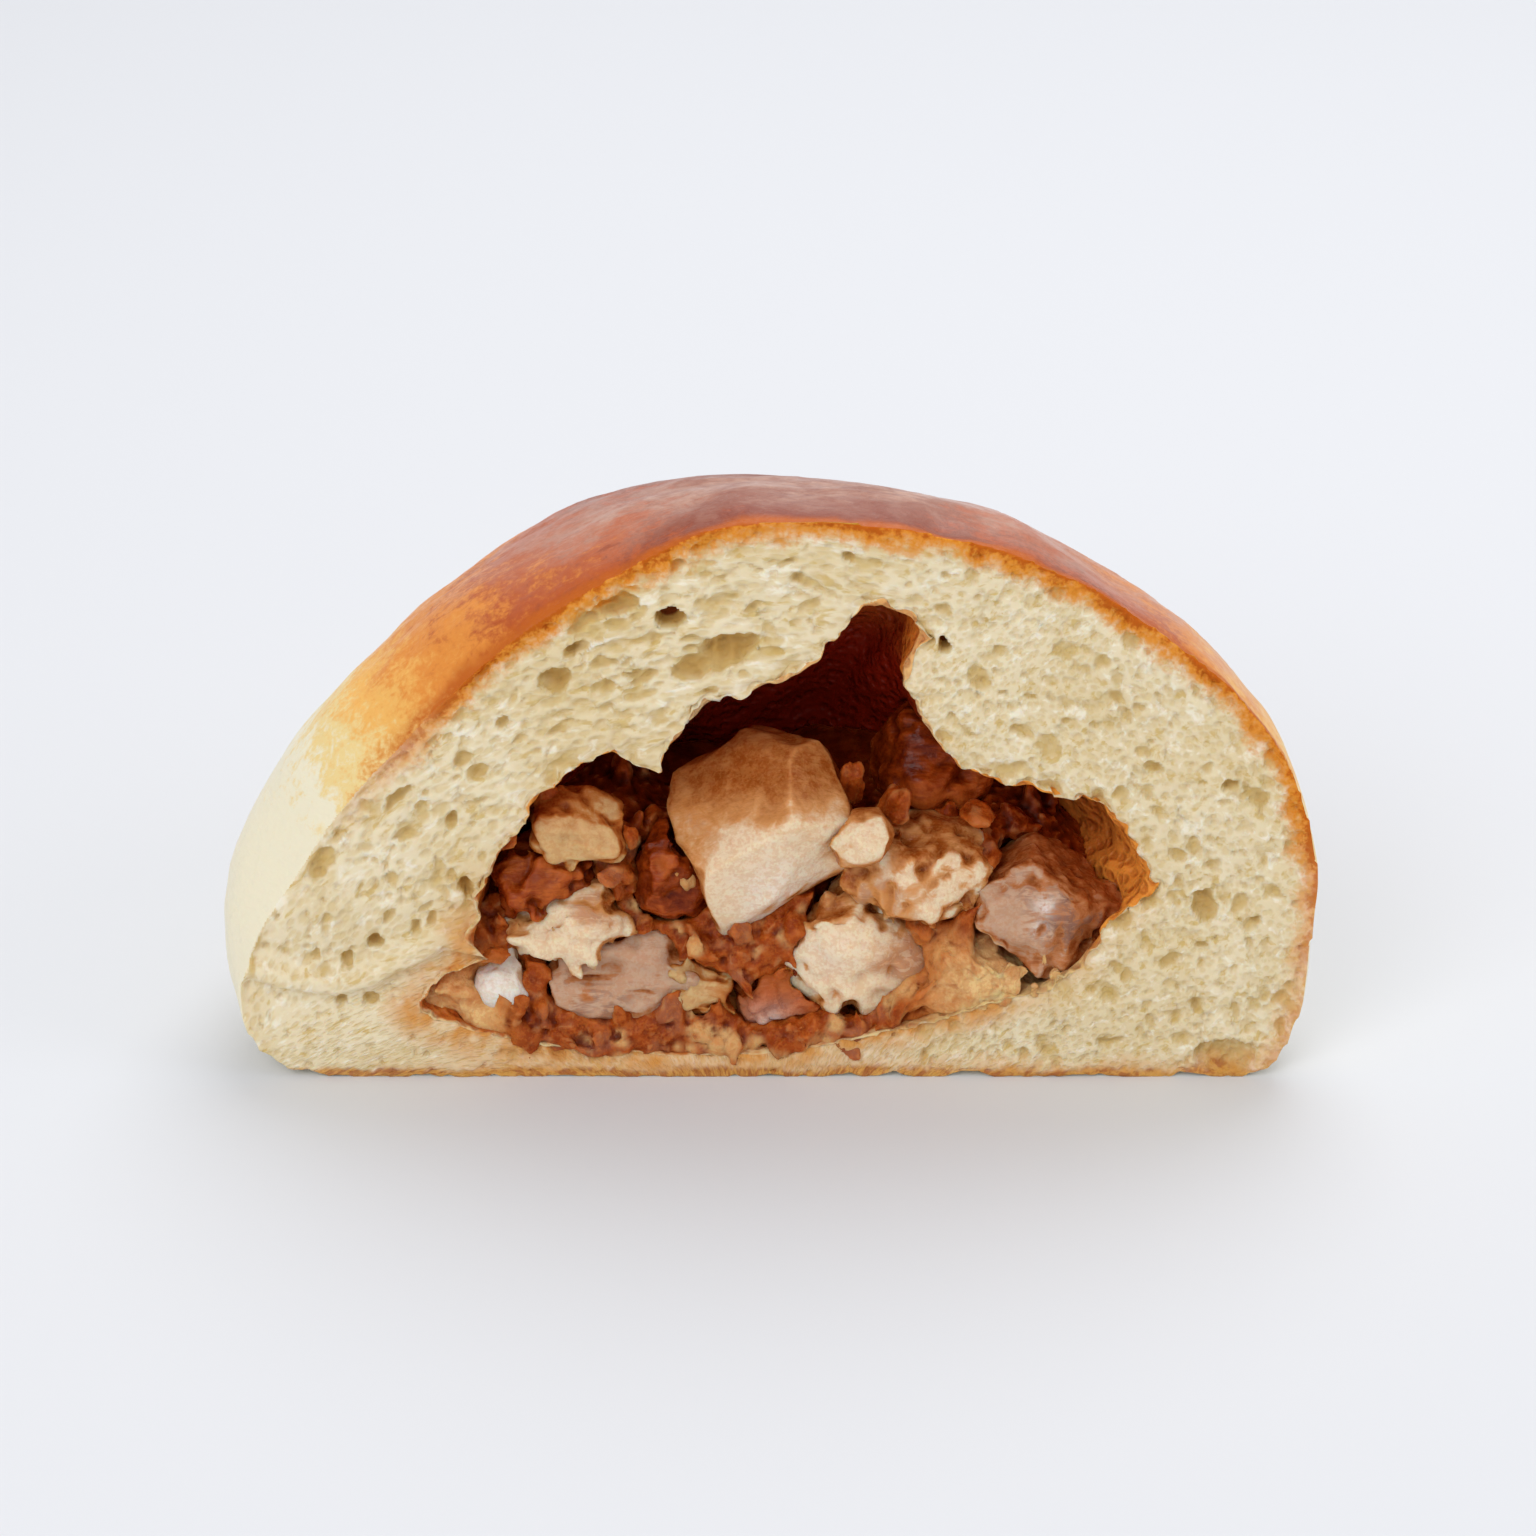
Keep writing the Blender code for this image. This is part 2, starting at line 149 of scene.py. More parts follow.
class Board:
    # a node tree with short calls for the nodes used here
    def __init__(self, tree):
        self.tree = tree
        self.nodes = tree.nodes
        self.links = tree.links

    def put(self, kind, **fields):
        node = self.nodes.new(kind)
        for key, value in fields.items():
            setattr(node, key, value)
        return node

    def join(self, source, target):
        self.links.new(source, target)

    def feed(self, socket, value):
        if isinstance(value, bpy.types.NodeSocket):
            self.links.new(value, socket)
        else:
            socket.default_value = value

    def fill(self, node, **values):
        for name, value in values.items():
            self.feed(node.inputs[name], value)
        return node.outputs[0]

    def maths(self, operation, a, b=0.0, clamp=False):
        node = self.put("ShaderNodeMath", operation=operation, use_clamp=clamp)
        self.feed(node.inputs[0], a)
        self.feed(node.inputs[1], b)
        return node.outputs[0]

    def times(self, first, *others, clamp=False):
        for item in others:
            first = self.maths("MULTIPLY", first, item, clamp)
        return first

    def plus(self, first, *others):
        for item in others:
            first = self.maths("ADD", first, item)
        return first

    def minus(self, a, b):
        return self.maths("SUBTRACT", a, b)

    def spread(self, value, low, high, newLow=0.0, newHigh=1.0, kind="SMOOTHSTEP"):
        node = self.put("ShaderNodeMapRange", interpolation_type=kind, clamp=True)
        for socket, item in zip(node.inputs, (value, low, high, newLow, newHigh)):
            self.feed(socket, item)
        return node.outputs[0]

    def line(self, value, low, high, newLow=0.0, newHigh=1.0):
        return self.spread(value, low, high, newLow, newHigh, "LINEAR")

    def sway(self, value, half):
        # a value from 0 to 1 made to swing by half either way
        return self.line(value, 0, 1, -half, half)

    def blend(self, share, first, second):
        node = self.put("ShaderNodeMix", data_type="RGBA", blend_type="MIX", clamp_factor=True)
        self.feed(node.inputs[0], share)
        self.feed(node.inputs[6], first)
        self.feed(node.inputs[7], second)
        return node.outputs[2]

    def paint(self, colour, look, layers):
        # colours of the look laid over the first one, each by its mask
        for mask, name in layers:
            colour = self.blend(mask, colour, look[name])
        return colour

    def ramp(self, value, stops):
        node = self.put("ShaderNodeValToRGB")
        line = node.color_ramp
        line.interpolation = "EASE"
        while len(line.elements) < len(stops):
            line.elements.new(0.5)
        for element, (place, colour) in zip(line.elements, stops):
            element.position = place
            element.color = colour
        self.feed(node.inputs[0], value)
        return node.outputs[0]

    def noise(self, where, size, detail=2.0, roughness=0.5, distortion=0.0):
        node = self.put("ShaderNodeTexNoise")
        self.fill(node, Vector=where, Scale=1 / size, Detail=detail)
        return self.fill(node, Roughness=roughness, Distortion=distortion)

    def cells(self, where, size, feature="F1", smoothness=0.0):
        node = self.put("ShaderNodeTexVoronoi", feature=feature)
        if feature == "SMOOTH_F1":
            node.inputs["Smoothness"].default_value = smoothness
        return self.fill(node, Vector=where, Scale=1 / size)

    def turned(self, where, angles=(0, 0, 0), stretch=(1, 1, 1)):
        node = self.put("ShaderNodeMapping", vector_type="POINT")
        return self.fill(node, Vector=where, Rotation=[math.radians(a) for a in angles], Scale=stretch)

    def objectPlace(self):
        return self.put("ShaderNodeTexCoord").outputs["Object"]

    def attribute(self, name):
        return self.put("ShaderNodeAttribute", attribute_name=name).outputs["Fac"]

    def split(self, where):
        node = self.put("ShaderNodeSeparateXYZ")
        self.feed(node.inputs[0], where)
        return node.outputs[0], node.outputs[1], node.outputs[2]

    def bump(self, height, distance, strength=1.0):
        node = self.put("ShaderNodeBump")
        return self.fill(node, Strength=strength, Distance=distance, Height=height)


def newMaterial(name):
    material = bpy.data.materials.new(name)
    material.use_nodes = True
    board = Board(material.node_tree)
    shader = material.node_tree.nodes["Principled BSDF"]
    return material, board, shader


def finishShader(board, shader, colour, rough, bump, specular, light):
    # light that enters the food and comes out tinted: its share, reach by colour and scale
    board.join(colour, shader.inputs["Base Color"])
    board.feed(shader.inputs["Roughness"], rough)
    board.join(bump, shader.inputs["Normal"])
    shader.inputs["Specular IOR Level"].default_value = specular
    shader.inputs["Subsurface Weight"].default_value = light[0]
    shader.inputs["Subsurface Radius"].default_value = light[1]
    shader.inputs["Subsurface Scale"].default_value = light[2]


def newGroup(name, inputs, outputs):
    # inputs are (name, kind, start) and outputs (name, kind)
    group = bpy.data.node_groups.new(name, "ShaderNodeTree")
    for label, kind, start in inputs:
        socket = group.interface.new_socket(name=label, in_out="INPUT", socket_type=kind)
        if start is not None:
            socket.default_value = start
    for label, kind in outputs:
        group.interface.new_socket(name=label, in_out="OUTPUT", socket_type=kind)
    board = Board(group)
    return group, board, board.put("NodeGroupInput"), board.put("NodeGroupOutput")


def placeGroup(board, group, **values):
    node = board.put("ShaderNodeGroup")
    node.node_tree = group
    board.fill(node, **values)
    return node


def scaledPlace(board, given, factor):
    scaled = board.put("ShaderNodeVectorMath", operation="SCALE")
    board.join(given.outputs["Place"], scaled.inputs[0])
    board.join(given.outputs[factor], scaled.inputs["Scale"])
    return scaled.outputs[0]


# speckle: the fine grain of baked or cooked surfaces, as a height and a lighter-darker value
def makeSpeckle():
    group, board, given, out = newGroup(
        "speckle",
        [("Place", "NodeSocketVector", None), ("Grain", "NodeSocketFloat", 1.0)],
        [("Height", "NodeSocketFloat"), ("Tone", "NodeSocketFloat")],
    )
    where = scaledPlace(board, given, "Grain")
    fine = board.noise(where, 0.45 * mm, 2, 0.6)
    coarse = board.noise(where, 1.5 * mm, 3, 0.55)
    dots = board.cells(where, 0.7 * mm)
    height = board.plus(board.times(fine, 0.6), board.times(dots, 0.5), board.times(coarse, 0.7))
    board.join(height, out.inputs["Height"])
    tone = board.plus(board.times(fine, 0.5), board.times(coarse, 0.5))
    board.join(board.spread(tone, 0.36, 0.64), out.inputs["Tone"])
    return group


# mottle: broad uneven patches
def makeMottle():
    group, board, given, out = newGroup(
        "mottle",
        [("Place", "NodeSocketVector", None), ("Size", "NodeSocketFloat", 1.0)],
        [("Broad", "NodeSocketFloat"), ("Patchy", "NodeSocketFloat")],
    )
    where = scaledPlace(board, given, "Size")
    broad = board.noise(where, 17 * mm, 2, 0.5, 0.4)
    patchy = board.noise(where, 4.5 * mm, 3, 0.55, 0.3)
    board.join(board.spread(broad, 0.32, 0.68), out.inputs["Broad"])
    board.join(board.spread(patchy, 0.3, 0.7), out.inputs["Patchy"])
    return group


speckle = makeSpeckle()
mottle = makeMottle()


# the dough: crust, crumb and hollow
crustLook = inLinear({
    "pale": (244, 234, 204),
    "yellow": (243, 214, 146),
    "gold": (245, 184, 94),
    "orange": (231, 143, 54),
    "brown": (186, 82, 20),
    "darkest": (134, 50, 22),
    "cutEdge": (196, 96, 8),
    # a painted sheen on the crown
    "crownSheen": (214, 164, 138),
    "roughness": 0.42,
    "coat": 0.7,
    "grain": 0.13 * mm,
    "skin": 0.95 * mm,
    "rounding": 30,
    "cuts": 3,
})
crumbLook = inLinear({
    "crumb": (240, 225, 191),
    # a painted highlight on the walls between pores
    "wallHighlight": (252, 244, 224),
    "shade": (212, 180, 108),
    # painted shade in deep pores and in the darkest hole
    "deepPoreShade": (190, 146, 74),
    "holeShade": (122, 52, 16),
    "gold": (226, 142, 32),
    "skin": (184, 84, 10),
    "stain": (220, 156, 84),
    "baseLine": (220, 160, 80),
    "baseDark": (176, 102, 44),
    "finePores": 4600,
    "mediumPores": 1150,
    "widePores": 120,
    "undulation": 0.45 * mm,
})
hollowLook = inLinear({
    "torn": (236, 206, 150),
    "soaked": (206, 118, 48),
    # darker sauce with painted shade, deeper in the hollow
    "dark": (186, 90, 22),
    "deepSauceShade": (150, 34, 8),
    # thin sauce with painted light on the lit walls and the top
    "litThinSauce": (246, 156, 62),
    "floor": (232, 196, 132),
})


def crustMaterial():
    material, board, shader = newMaterial("bakedCrust")
    place = board.objectPlace()
    x, y, z = board.split(place)
    broad, patchy = placeGroup(board, mottle, Place=place, Size=1.0).outputs
    relief, tone = placeGroup(board, speckle, Place=place, Grain=1.0).outputs
    streaks = board.noise(board.turned(place, (0, 0, 12), (0.55, 1.2, 0.6)), 1.4 * mm, 5, 0.66, 0.9)
    height = board.line(z, 3 * mm, 52 * mm, 0.12, 1.0)
    paleEnd = board.line(x, -54 * mm, -4 * mm, 0.66, 0.0)
    brown = board.plus(
        board.minus(height, paleEnd),
        board.sway(broad, 0.07),
        board.sway(patchy, 0.045),
        board.sway(tone, 0.05),
        board.line(streaks, 0.35, 0.65, -0.07, 0.07),
    )
    stops = [
        (0.0, crustLook["pale"]), (0.16, crustLook["yellow"]), (0.34, crustLook["gold"]),
        (0.56, crustLook["orange"]), (0.78, crustLook["brown"]), (1.0, crustLook["darkest"]),
    ]
    brown = board.minus(brown, board.line(x, 10 * mm, 50 * mm, 0.0, 0.36))
    colour = board.ramp(brown, stops)
    # painted sheen over the crown, with dark flecks
    crown = board.plus(z, board.times(board.maths("MAXIMUM", x, 0.0), 0.3))
    crownSheen = board.times(
        board.spread(crown, 44 * mm, 57 * mm, 0.0, 0.8),
        board.spread(y, -16 * mm, 2 * mm, 1.0, 0.3),
        board.spread(streaks, 0.36, 0.6, 0.5, 1.0),
        board.spread(patchy, 0, 1, 0.55, 1.15),
        board.line(board.attribute("fromCut"), 0.5, 9.0),
    )
    flecks = board.times(board.spread(streaks, 0.6, 0.72, 0.0, 0.4), board.spread(z, 42 * mm, 54 * mm))
    colour = board.paint(colour, crustLook, [(crownSheen, "crownSheen"), (flecks, "darkest")])
    # a darker edge along the cut
    ragged = board.sway(patchy, 0.5)
    edge = board.spread(board.plus(board.attribute("fromCut"), ragged), 0.3, 2.4, 1.0, 0.0)
    edge = board.times(edge, board.spread(brown, 0.15, 0.5, 0.0, 0.95))
    colour = board.blend(edge, colour, crustLook["cutEdge"])
    roughness = crustLook["roughness"]
    rough = board.spread(tone, 0, 1, roughness - 0.06, roughness + 0.08)
    bump = board.bump(board.plus(relief, board.times(streaks, 1.2)), crustLook["grain"], 0.8)
    shine = board.times(
        board.spread(board.attribute("fromCut"), 1.0, 5.0, 0.15, 1.0),
        board.spread(z, 34 * mm, 54 * mm, 0.25, 1.0),
        board.spread(patchy, 0, 1, 0.6, 1.1),
        crustLook["coat"],
    )
    board.join(shine, shader.inputs["Coat Weight"])
    shader.inputs["Coat Roughness"].default_value = 0.34
    finishShader(board, shader, colour, rough, bump, 0.25, (0.06, (1.0, 0.5, 0.25), 1.5 * mm))
    return material


def crumbMaterial():
    material, board, shader = newMaterial("openCrumb")
    place = board.objectPlace()
    x, y, z = board.split(place)
    broad, patchy = placeGroup(board, mottle, Place=place, Size=1.3).outputs
    relief, tone = placeGroup(board, speckle, Place=place, Grain=0.9).outputs
    # coordinates along the dome and out from its middle, so that pores can be drawn out along it
    fromBase = board.plus(z, 14 * mm)
    out = board.maths("SQRT", board.plus(board.times(x, x), board.times(fromBase, fromBase)))
    way = board.maths("ARCTAN2", x, fromBase)
    slope = board.minus(z, board.times(x, 0.8))
    drawn = board.spread(slope, 18 * mm, 44 * mm, 56 * mm, 26 * mm)
    bent = board.put("ShaderNodeCombineXYZ")
    for socket, item in zip(bent.inputs, (board.times(way, drawn), y, out)):
        board.feed(socket, item)
    tiny = board.cells(bent.outputs[0], 0.66 * mm, "SMOOTH_F1", 0.3)
    web = board.spread(tiny, 0.25, 0.62, 1.0, 0.0)  # 1 in the little pores' middles
    flow = board.noise(bent.outputs[0], 1.3 * mm, 3, 0.6, 0.4)
    pore = board.attribute("pore")
    # sauce drawn into the dough near the filling
    stain = board.times(board.attribute("stain"), board.spread(patchy, 0, 1, 0.35, 1.3))
    # the gold line under the skin, widest over the top
    wobble = board.plus(board.sway(patchy, 0.6), board.sway(tone, 0.45))
    depth = board.plus(board.attribute("fromSkin"), wobble)
    browned = board.times(
        board.spread(x, -42 * mm, -26 * mm),
        board.spread(z, 8 * mm, 30 * mm, 0.35, 1.0),
    )
    gold = board.times(board.spread(depth, 0.7, 2.9, 1.0, 0.0), browned)
    skin = board.times(board.spread(depth, 0.0, 0.9, 1.0, 0.0), browned)
    # painted shade in the pores and in the low parts of the bump, a painted highlight on its high parts
    colour = board.paint(crumbLook["crumb"], crumbLook, [
        (board.times(broad, 0.3), "shade"),
        (board.times(web, 0.36), "shade"),
        (board.spread(flow, 0.43, 0.3, 0.0, 0.75), "shade"),
        (board.spread(flow, 0.54, 0.7, 0.0, 0.75), "wallHighlight"),
        (board.spread(pore, 0.05, 0.7, 0.0, 0.7), "shade"),
        (board.spread(pore, 0.45, 1.7, 0.0, 0.85), "deepPoreShade"),
        (board.spread(pore, 2.05, 2.3, 0.0, 0.95), "holeShade"),
        (board.times(stain, 0.85, clamp=True), "stain"),
        (board.times(gold, 0.95), "gold"),
        (board.times(skin, 0.85), "skin"),
    ])
    # the baked base line
    low = board.plus(z, board.sway(patchy, 0.35 * mm))
    baseLine = board.spread(low, 0.4 * mm, 1.2 * mm, 0.9, 0.0)
    dark = board.spread(flow, 0.4, 0.62)
    toasted = board.blend(dark, crumbLook["baseLine"], crumbLook["baseDark"])
    colour = board.blend(baseLine, colour, toasted)
    height = board.minus(board.plus(board.times(relief, 0.3), flow), web)
    bump = board.bump(height, 0.13 * mm, 0.6)
    finishShader(board, shader, colour, 0.8, bump, 0.1, (0.3, (1.0, 0.7, 0.4), 1.2 * mm))
    return material


def hollowMaterial():
    material, board, shader = newMaterial("saucedHollow")
    place = board.objectPlace()
    patchy = placeGroup(board, mottle, Place=place, Size=1.6).outputs["Patchy"]
    relief = placeGroup(board, speckle, Place=place, Grain=0.8).outputs["Height"]
    x, _, z = board.split(place)
    # darker further in from the cut and less so high up: partly darker sauce, partly painted shade
    deep = board.minus(board.attribute("fromCut"), board.spread(z, 24 * mm, 34 * mm, 0.0, 1.3))
    deep = board.plus(deep, board.sway(patchy, 0.6))
    # thinner sauce and painted light on the right wall, in the pocket under the left of the roof and near the
    # top
    right = board.times(board.spread(x, 13 * mm, 21 * mm, 0.0, 1.2), board.spread(z, 12 * mm, 17 * mm))
    left = board.times(board.spread(x, -6 * mm, -11 * mm), board.spread(z, 26 * mm, 30 * mm))
    top = board.spread(z, 36 * mm, 46 * mm, 0.0, 0.6)
    litThinSauce = board.maths("MAXIMUM", board.maths("MAXIMUM", right, left), top)
    litThinSauce = board.times(litThinSauce, board.spread(deep, 15.0, 4.0, 0.5, 1.0))
    # soft soaked dough on the floor at the right
    ground = board.times(
        board.spread(z, 15 * mm, 11 * mm),
        board.spread(x, 10 * mm, 16 * mm),
        board.spread(patchy, 0, 1, 0.55, 1.0),
    )
    # painted shade in small pits that the bump also sinks
    holes = board.spread(board.cells(place, 1.1 * mm, "SMOOTH_F1", 0.25), 0.2, 0.6, 1.0, 0.0)
    colour = board.paint(hollowLook["torn"], hollowLook, [
        (board.spread(deep, 0.0, 1.0), "soaked"),
        (board.spread(deep, 0.8, 4.5), "dark"),
        (board.spread(deep, 4.0, 11.0), "deepSauceShade"),
        (board.times(litThinSauce, 0.95, clamp=True), "litThinSauce"),
        (ground, "floor"),
        (board.times(holes, 0.35), "deepSauceShade"),
    ])
    rough = board.spread(deep, 0.0, 2.0, 0.7, 0.4)
    bump = board.bump(board.minus(relief, holes), 0.3 * mm, 0.9)
    finishShader(board, shader, colour, rough, bump, 0.2, (0.2, (1.0, 0.45, 0.2), 2.0 * mm))
    return material


# large pockets in the crumb: across, up, length, height in mm, tilt in degrees, depth in mm
pockets = [
    (-3.2, 45.0, 6.0, 3.6, 25, 1.9), (-6.6, 43.2, 4.4, 2.2, 20, 1.4), (-8.7, 48.5, 2.1, 1.9, 0, 2.7),
    (-13.4, 49.6, 4.6, 2.4, 15, 1.5), (-16.4, 48.0, 3.6, 1.5, 25, 1.1), (-17.2, 45.2, 3.4, 1.3, 22, 1.1),
    (-12.0, 46.2, 7.0, 0.9, 12, 0.7), (-19.3, 42.0, 3.2, 2.4, 35, 1.4), (-10.9, 42.2, 3.0, 1.4, 25, 1.0),
    (-25.4, 43.2, 3.6, 1.3, 48, 1.1), (-24.0, 37.6, 1.7, 1.2, 20, 1.0), (-14.6, 41.3, 2.2, 1.6, 10, 0.8),
    (-27.9, 34.2, 2.6, 1.5, 40, 0.9), (-26.8, 32.6, 2.2, 1.8, 30, 0.9), (-34.2, 30.0, 4.0, 1.1, 42, 1.0),
    (-29.3, 27.6, 1.5, 2.2, 0, 1.1), (-33.3, 26.3, 2.0, 1.3, 20, 0.8), (-27.9, 20.4, 1.3, 3.0, 12, 1.7),
    (-31.2, 16.9, 1.3, 2.0, -20, 0.9), (-33.2, 16.0, 1.2, 1.8, -20, 0.8), (-37.0, 14.2, 2.2, 1.7, 0, 1.5),
    (-39.6, 12.6, 1.3, 2.2, 0, 0.9), (-42.4, 13.0, 1.0, 1.8, 0, 0.8), (-40.4, 8.2, 1.3, 1.5, 0, 1.0),
    (-37.6, 8.2, 1.4, 1.5, 0, 1.0), (-8.0, 33.4, 1.2, 2.2, 15, 1.5), (3.6, 52.0, 1.7, 1.2, 0, 0.9),
    (-3.6, 50.4, 2.6, 1.0, 5, 0.6), (-7.7, 53.6, 1.5, 1.2, 20, 1.0), (7.8, 54.6, 1.8, 1.2, -20, 0.9),
    (16.7, 45.4, 1.2, 2.0, 10, 2.6), (42.0, 18.6, 2.0, 3.2, 5, 1.2), (45.2, 19.0, 1.8, 2.0, 0, 0.7),
    (46.8, 17.0, 1.2, 1.4, 0, 0.9), (43.6, 31.4, 1.5, 1.3, 0, 1.1), (36.6, 33.2, 1.8, 0.9, -10, 1.0),
    (38.6, 12.6, 1.6, 1.4, 0, 0.8), (41.6, 14.4, 1.4, 1.0, 0, 0.8), (31.0, 44.2, 1.9, 1.6, -30, 0.7),
    (44.6, 1.9, 6.4, 4.2, -12, 1.7), (33.3, 4.0, 2.4, 0.9, 0, 0.7),
]
# the fold line at the left end, across and up in mm
seam = [
    (-51, 12.5), (-46, 10.6), (-41, 10.0), (-37.5, 10.6), (-34.0, 12.6), (-30.5, 15.2), (-28.0, 14.2),
]
# dents over the crown's right: across, back from the cut, width, depth in mm
dents = [
    (9.5, 1.5, 2.6, 0.35), (16.5, 2.0, 2.4, 0.55), (21.0, 4.5, 2.0, 0.45), (27.0, 1.0, 2.6, 0.4),
    (33.0, 6.0, 3.0, 0.4), (3.0, 9.0, 3.4, 0.35), (-14.0, 5.0, 3.0, 0.3),
]
# torn tips pulled out of the rim: across, up, how far across and up, reach, in mm
flaps = [
    (-28.2, 12.6, 3.2, -0.5, 1.3), (-10.2, 33.4, 0.8, -1.8, 1.0), (37.0, 20.0, 1.0, 0.6, 0.9),
    (14.6, 41.6, -1.3, 0.0, 1.0), (29.0, 10.6, -1.5, 0.6, 1.1), (-20.4, 31.6, 1.0, -0.6, 0.8),
    (9.2, 49.2, -0.5, 1.3, 1.7), (13.6, 49.4, 0.3, 0.2, 1.2), (15.2, 46.0, 1.0, -0.2, 1.2),
]
# pores by kind: smallest, largest, depth as a share of the size
poreKinds = {
    "widePores": (0.8, 1.4, 0.65),
    "mediumPores": (0.45, 0.85, 0.85),
    "finePores": (0.24, 0.48, 0.95),
}


def contourTilt(x, z):
    # the way the crumb was drawn out, along the dome
    return math.atan2(-(x / 52**2), (z - 6) / 50**2)


def makePores():
    # each as across, up, half its length, half its height, tilt and depth
    dice = random.Random(41)
    pores = [(x, z, l / 2, h / 2, math.radians(t), d) for x, z, l, h, t, d in pockets]
    for kind, (small, large, depth) in poreKinds.items():
        for _ in range(crumbLook[kind]):
            x, z = dice.uniform(-53, 53), dice.uniform(1.5, 57)
            spot = noise.noise(Vector((x, z, 3.0)) / 9) + 0.25 * (x < 0 and z > 22)
            if dice.random() > 0.75 + spot:
                continue
            if kind != "finePores" and x < -26 and z < 11:
                continue
            radius = dice.uniform(small, large) * dice.uniform(0.85, 1.0)
            drawn = 1.1 + dice.random() * (1.0 if x < 4 and z > 24 else 0.35)
            tilt = contourTilt(x, z) + dice.gauss(0, 0.3)
            deep = radius * depth * dice.uniform(0.6, 1.2)
            pores.append((x, z, radius * drawn, radius / math.sqrt(drawn), tilt, deep))
    return pores


def distanceTo(points, targets):
    # distance in mm from each point to the nearest of the targets
    tree = treeOf(targets)
    return np.array([tree.find(p)[2] for p in points]) / mm


def surfaceTree(objects):
    bm = bmesh.new()
    for obj in objects:
        bm.from_mesh(obj.data)
    tree = BVHTree.FromBMesh(bm)
    bm.free()
    return tree


def refine(obj, isFine, cuts):
    bm = bmesh.new()
    bm.from_mesh(obj.data)
    edges = {e for f in bm.faces if isFine(f) for e in f.edges}
    bmesh.ops.subdivide_edges(bm, edges=list(edges), cuts=cuts, use_grid_fill=True)
    bmesh.ops.triangulate(bm, faces=[f for f in bm.faces if len(f.verts) > 4])
    bm.to_mesh(obj.data)
    bm.free()


def seamDistance(x, z):
    # how far a point lies from the fold line at the left end, in mm
    best = 30.0
    for (x0, z0), (x1, z1) in zip(seam, seam[1:]):
        dx, dz = x1 - x0, z1 - z0
        t = min(1, max(0, ((x - x0) * dx + (z - z0) * dz) / (dx**2 + dz**2)))
        best = min(best, math.hypot(x - x0 - t * dx, z - z0 - t * dz))
    return best


def tearAt(p):
    # the ragged edge left where the dough was pulled apart
    broad = noise.noise_vector(p / (2.6 * mm)) * 0.7
    fine = noise.noise_vector(p / (1.1 * mm)) * 0.6 + noise.noise_vector(p / (0.6 * mm)) * 0.12
    x, z = p.x / mm, p.z / mm
    way = (broad + fine) * (0.35 + 0.65 * smoothStep(6, 16, z))
    for across, up, pullAcross, pullUp, reach in flaps:
        near = math.exp(-((x - across) ** 2 + (z - up) ** 2) / reach**2)
        way += Vector((pullAcross, 0, pullUp)) * near
    way.y = abs(way.y) * 0.8
    return way


def kindsOf(places, shell):
    # crust, crumb or hollow, by where each point lies
    kinds = []
    for p in places:
        away = Vector((p.x - bunMiddle.x, 0, p.z - bunMiddle.z)).normalized()
        if p.y < cutPlane + 0.35 * mm:
            kinds.append("crumb")
        elif p.y < 3 * mm and shell.ray_cast(p + away * 0.7 * mm, away)[0] is not None:
            kinds.append("hollow")
        else:
            kinds.append("crust")
    return kinds


def poreDepths(places, kinds, fromSkin):
    # how deep each point of the cut face lies in a pore, and how much painted shade it gets there, both in mm
    warped = []
    for p in places:
        w = noise.noise_vector(p / (1.1 * mm)) * 0.34 + noise.noise_vector(p / (3 * mm)) * 0.6
        warped.append((p.x / mm + w.x, p.z / mm + w.z))
    onFace = [i for i, k in enumerate(kinds) if k == "crumb"]
    tree = treeOf([(warped[i][0], 0, warped[i][1]) for i in onFace], onFace)
    pore, tone, inner = (np.zeros(len(places)) for _ in range(3))
    for x, z, half, low, tilt, depth in makePores():
        c, s = math.cos(tilt), math.sin(tilt)
        depths = pore if half > 0.9 else inner
        darkest = 0.6 if half > 3.1 else 1.6 if half > 1.7 else 9
        for co, i, _ in tree.find_range((x, 0, z), max(half, low)):
            dx, dz = co.x - x, co.z - z
            q = ((dx * c + dz * s) / half) ** 2 + ((dz * c - dx * s) / low) ** 2
            if q < 1:
                sunk = (1 - q) ** 0.42
                depths[i] = max(depths[i], depth * sunk)
                tone[i] = max(tone[i], min(depth, darkest) * sunk)
    tone = tone + 0.5 * np.minimum(pore, inner)
    pore = np.maximum(pore, inner) + 0.55 * np.minimum(pore, inner)
    pore *= smoothStep(0.0, 1.0, fromSkin) * 0.7 + 0.3 * (fromSkin > 0.3)
    return pore, tone


def crumbSink(p, pore, fromSkin):
    # how far the crumb lies behind the cut plane
    x, z = p.x / mm, p.z / mm
    wave = bumpAt(p, 12 * mm, 4) * crumbLook["undulation"] + bumpAt(p, 3.2 * mm, 8) * 0.18 * mm
    rough = bumpAt(p, 0.8 * mm, 2) * (0.09 + 0.24 * min(1.5, pore)) * mm
    ridge = max(0.0, bumpAt(p, 0.75 * mm, 15))
    rough += ridge * 0.6 * (1 - smoothStep(0.4, 2.2, fromSkin)) * mm
    sink = pore * mm + 0.4 * mm + wave + rough
    if x < -22 and z < 26:
        away = seamDistance(x, z)
        fold = 0.9 * math.exp(-((away / 4.5) ** 2)) - 1.7 * math.exp(-((away / 1.1) ** 2))
        sink += fold * mm
    return max(0.02 * mm, sink) * smoothStep(-0.3, 0.9, fromSkin)


def hollowShift(p, normal, fromFace):
    push = bumpAt(p, 5 * mm, 1) * 0.9 * mm + bumpAt(p, 1.6 * mm, 6) * 0.35 * mm
    near = 1 - smoothStep(0.0, 2.2, fromFace)
    return normal * push * (1 - near) + tearAt(p) * near * mm


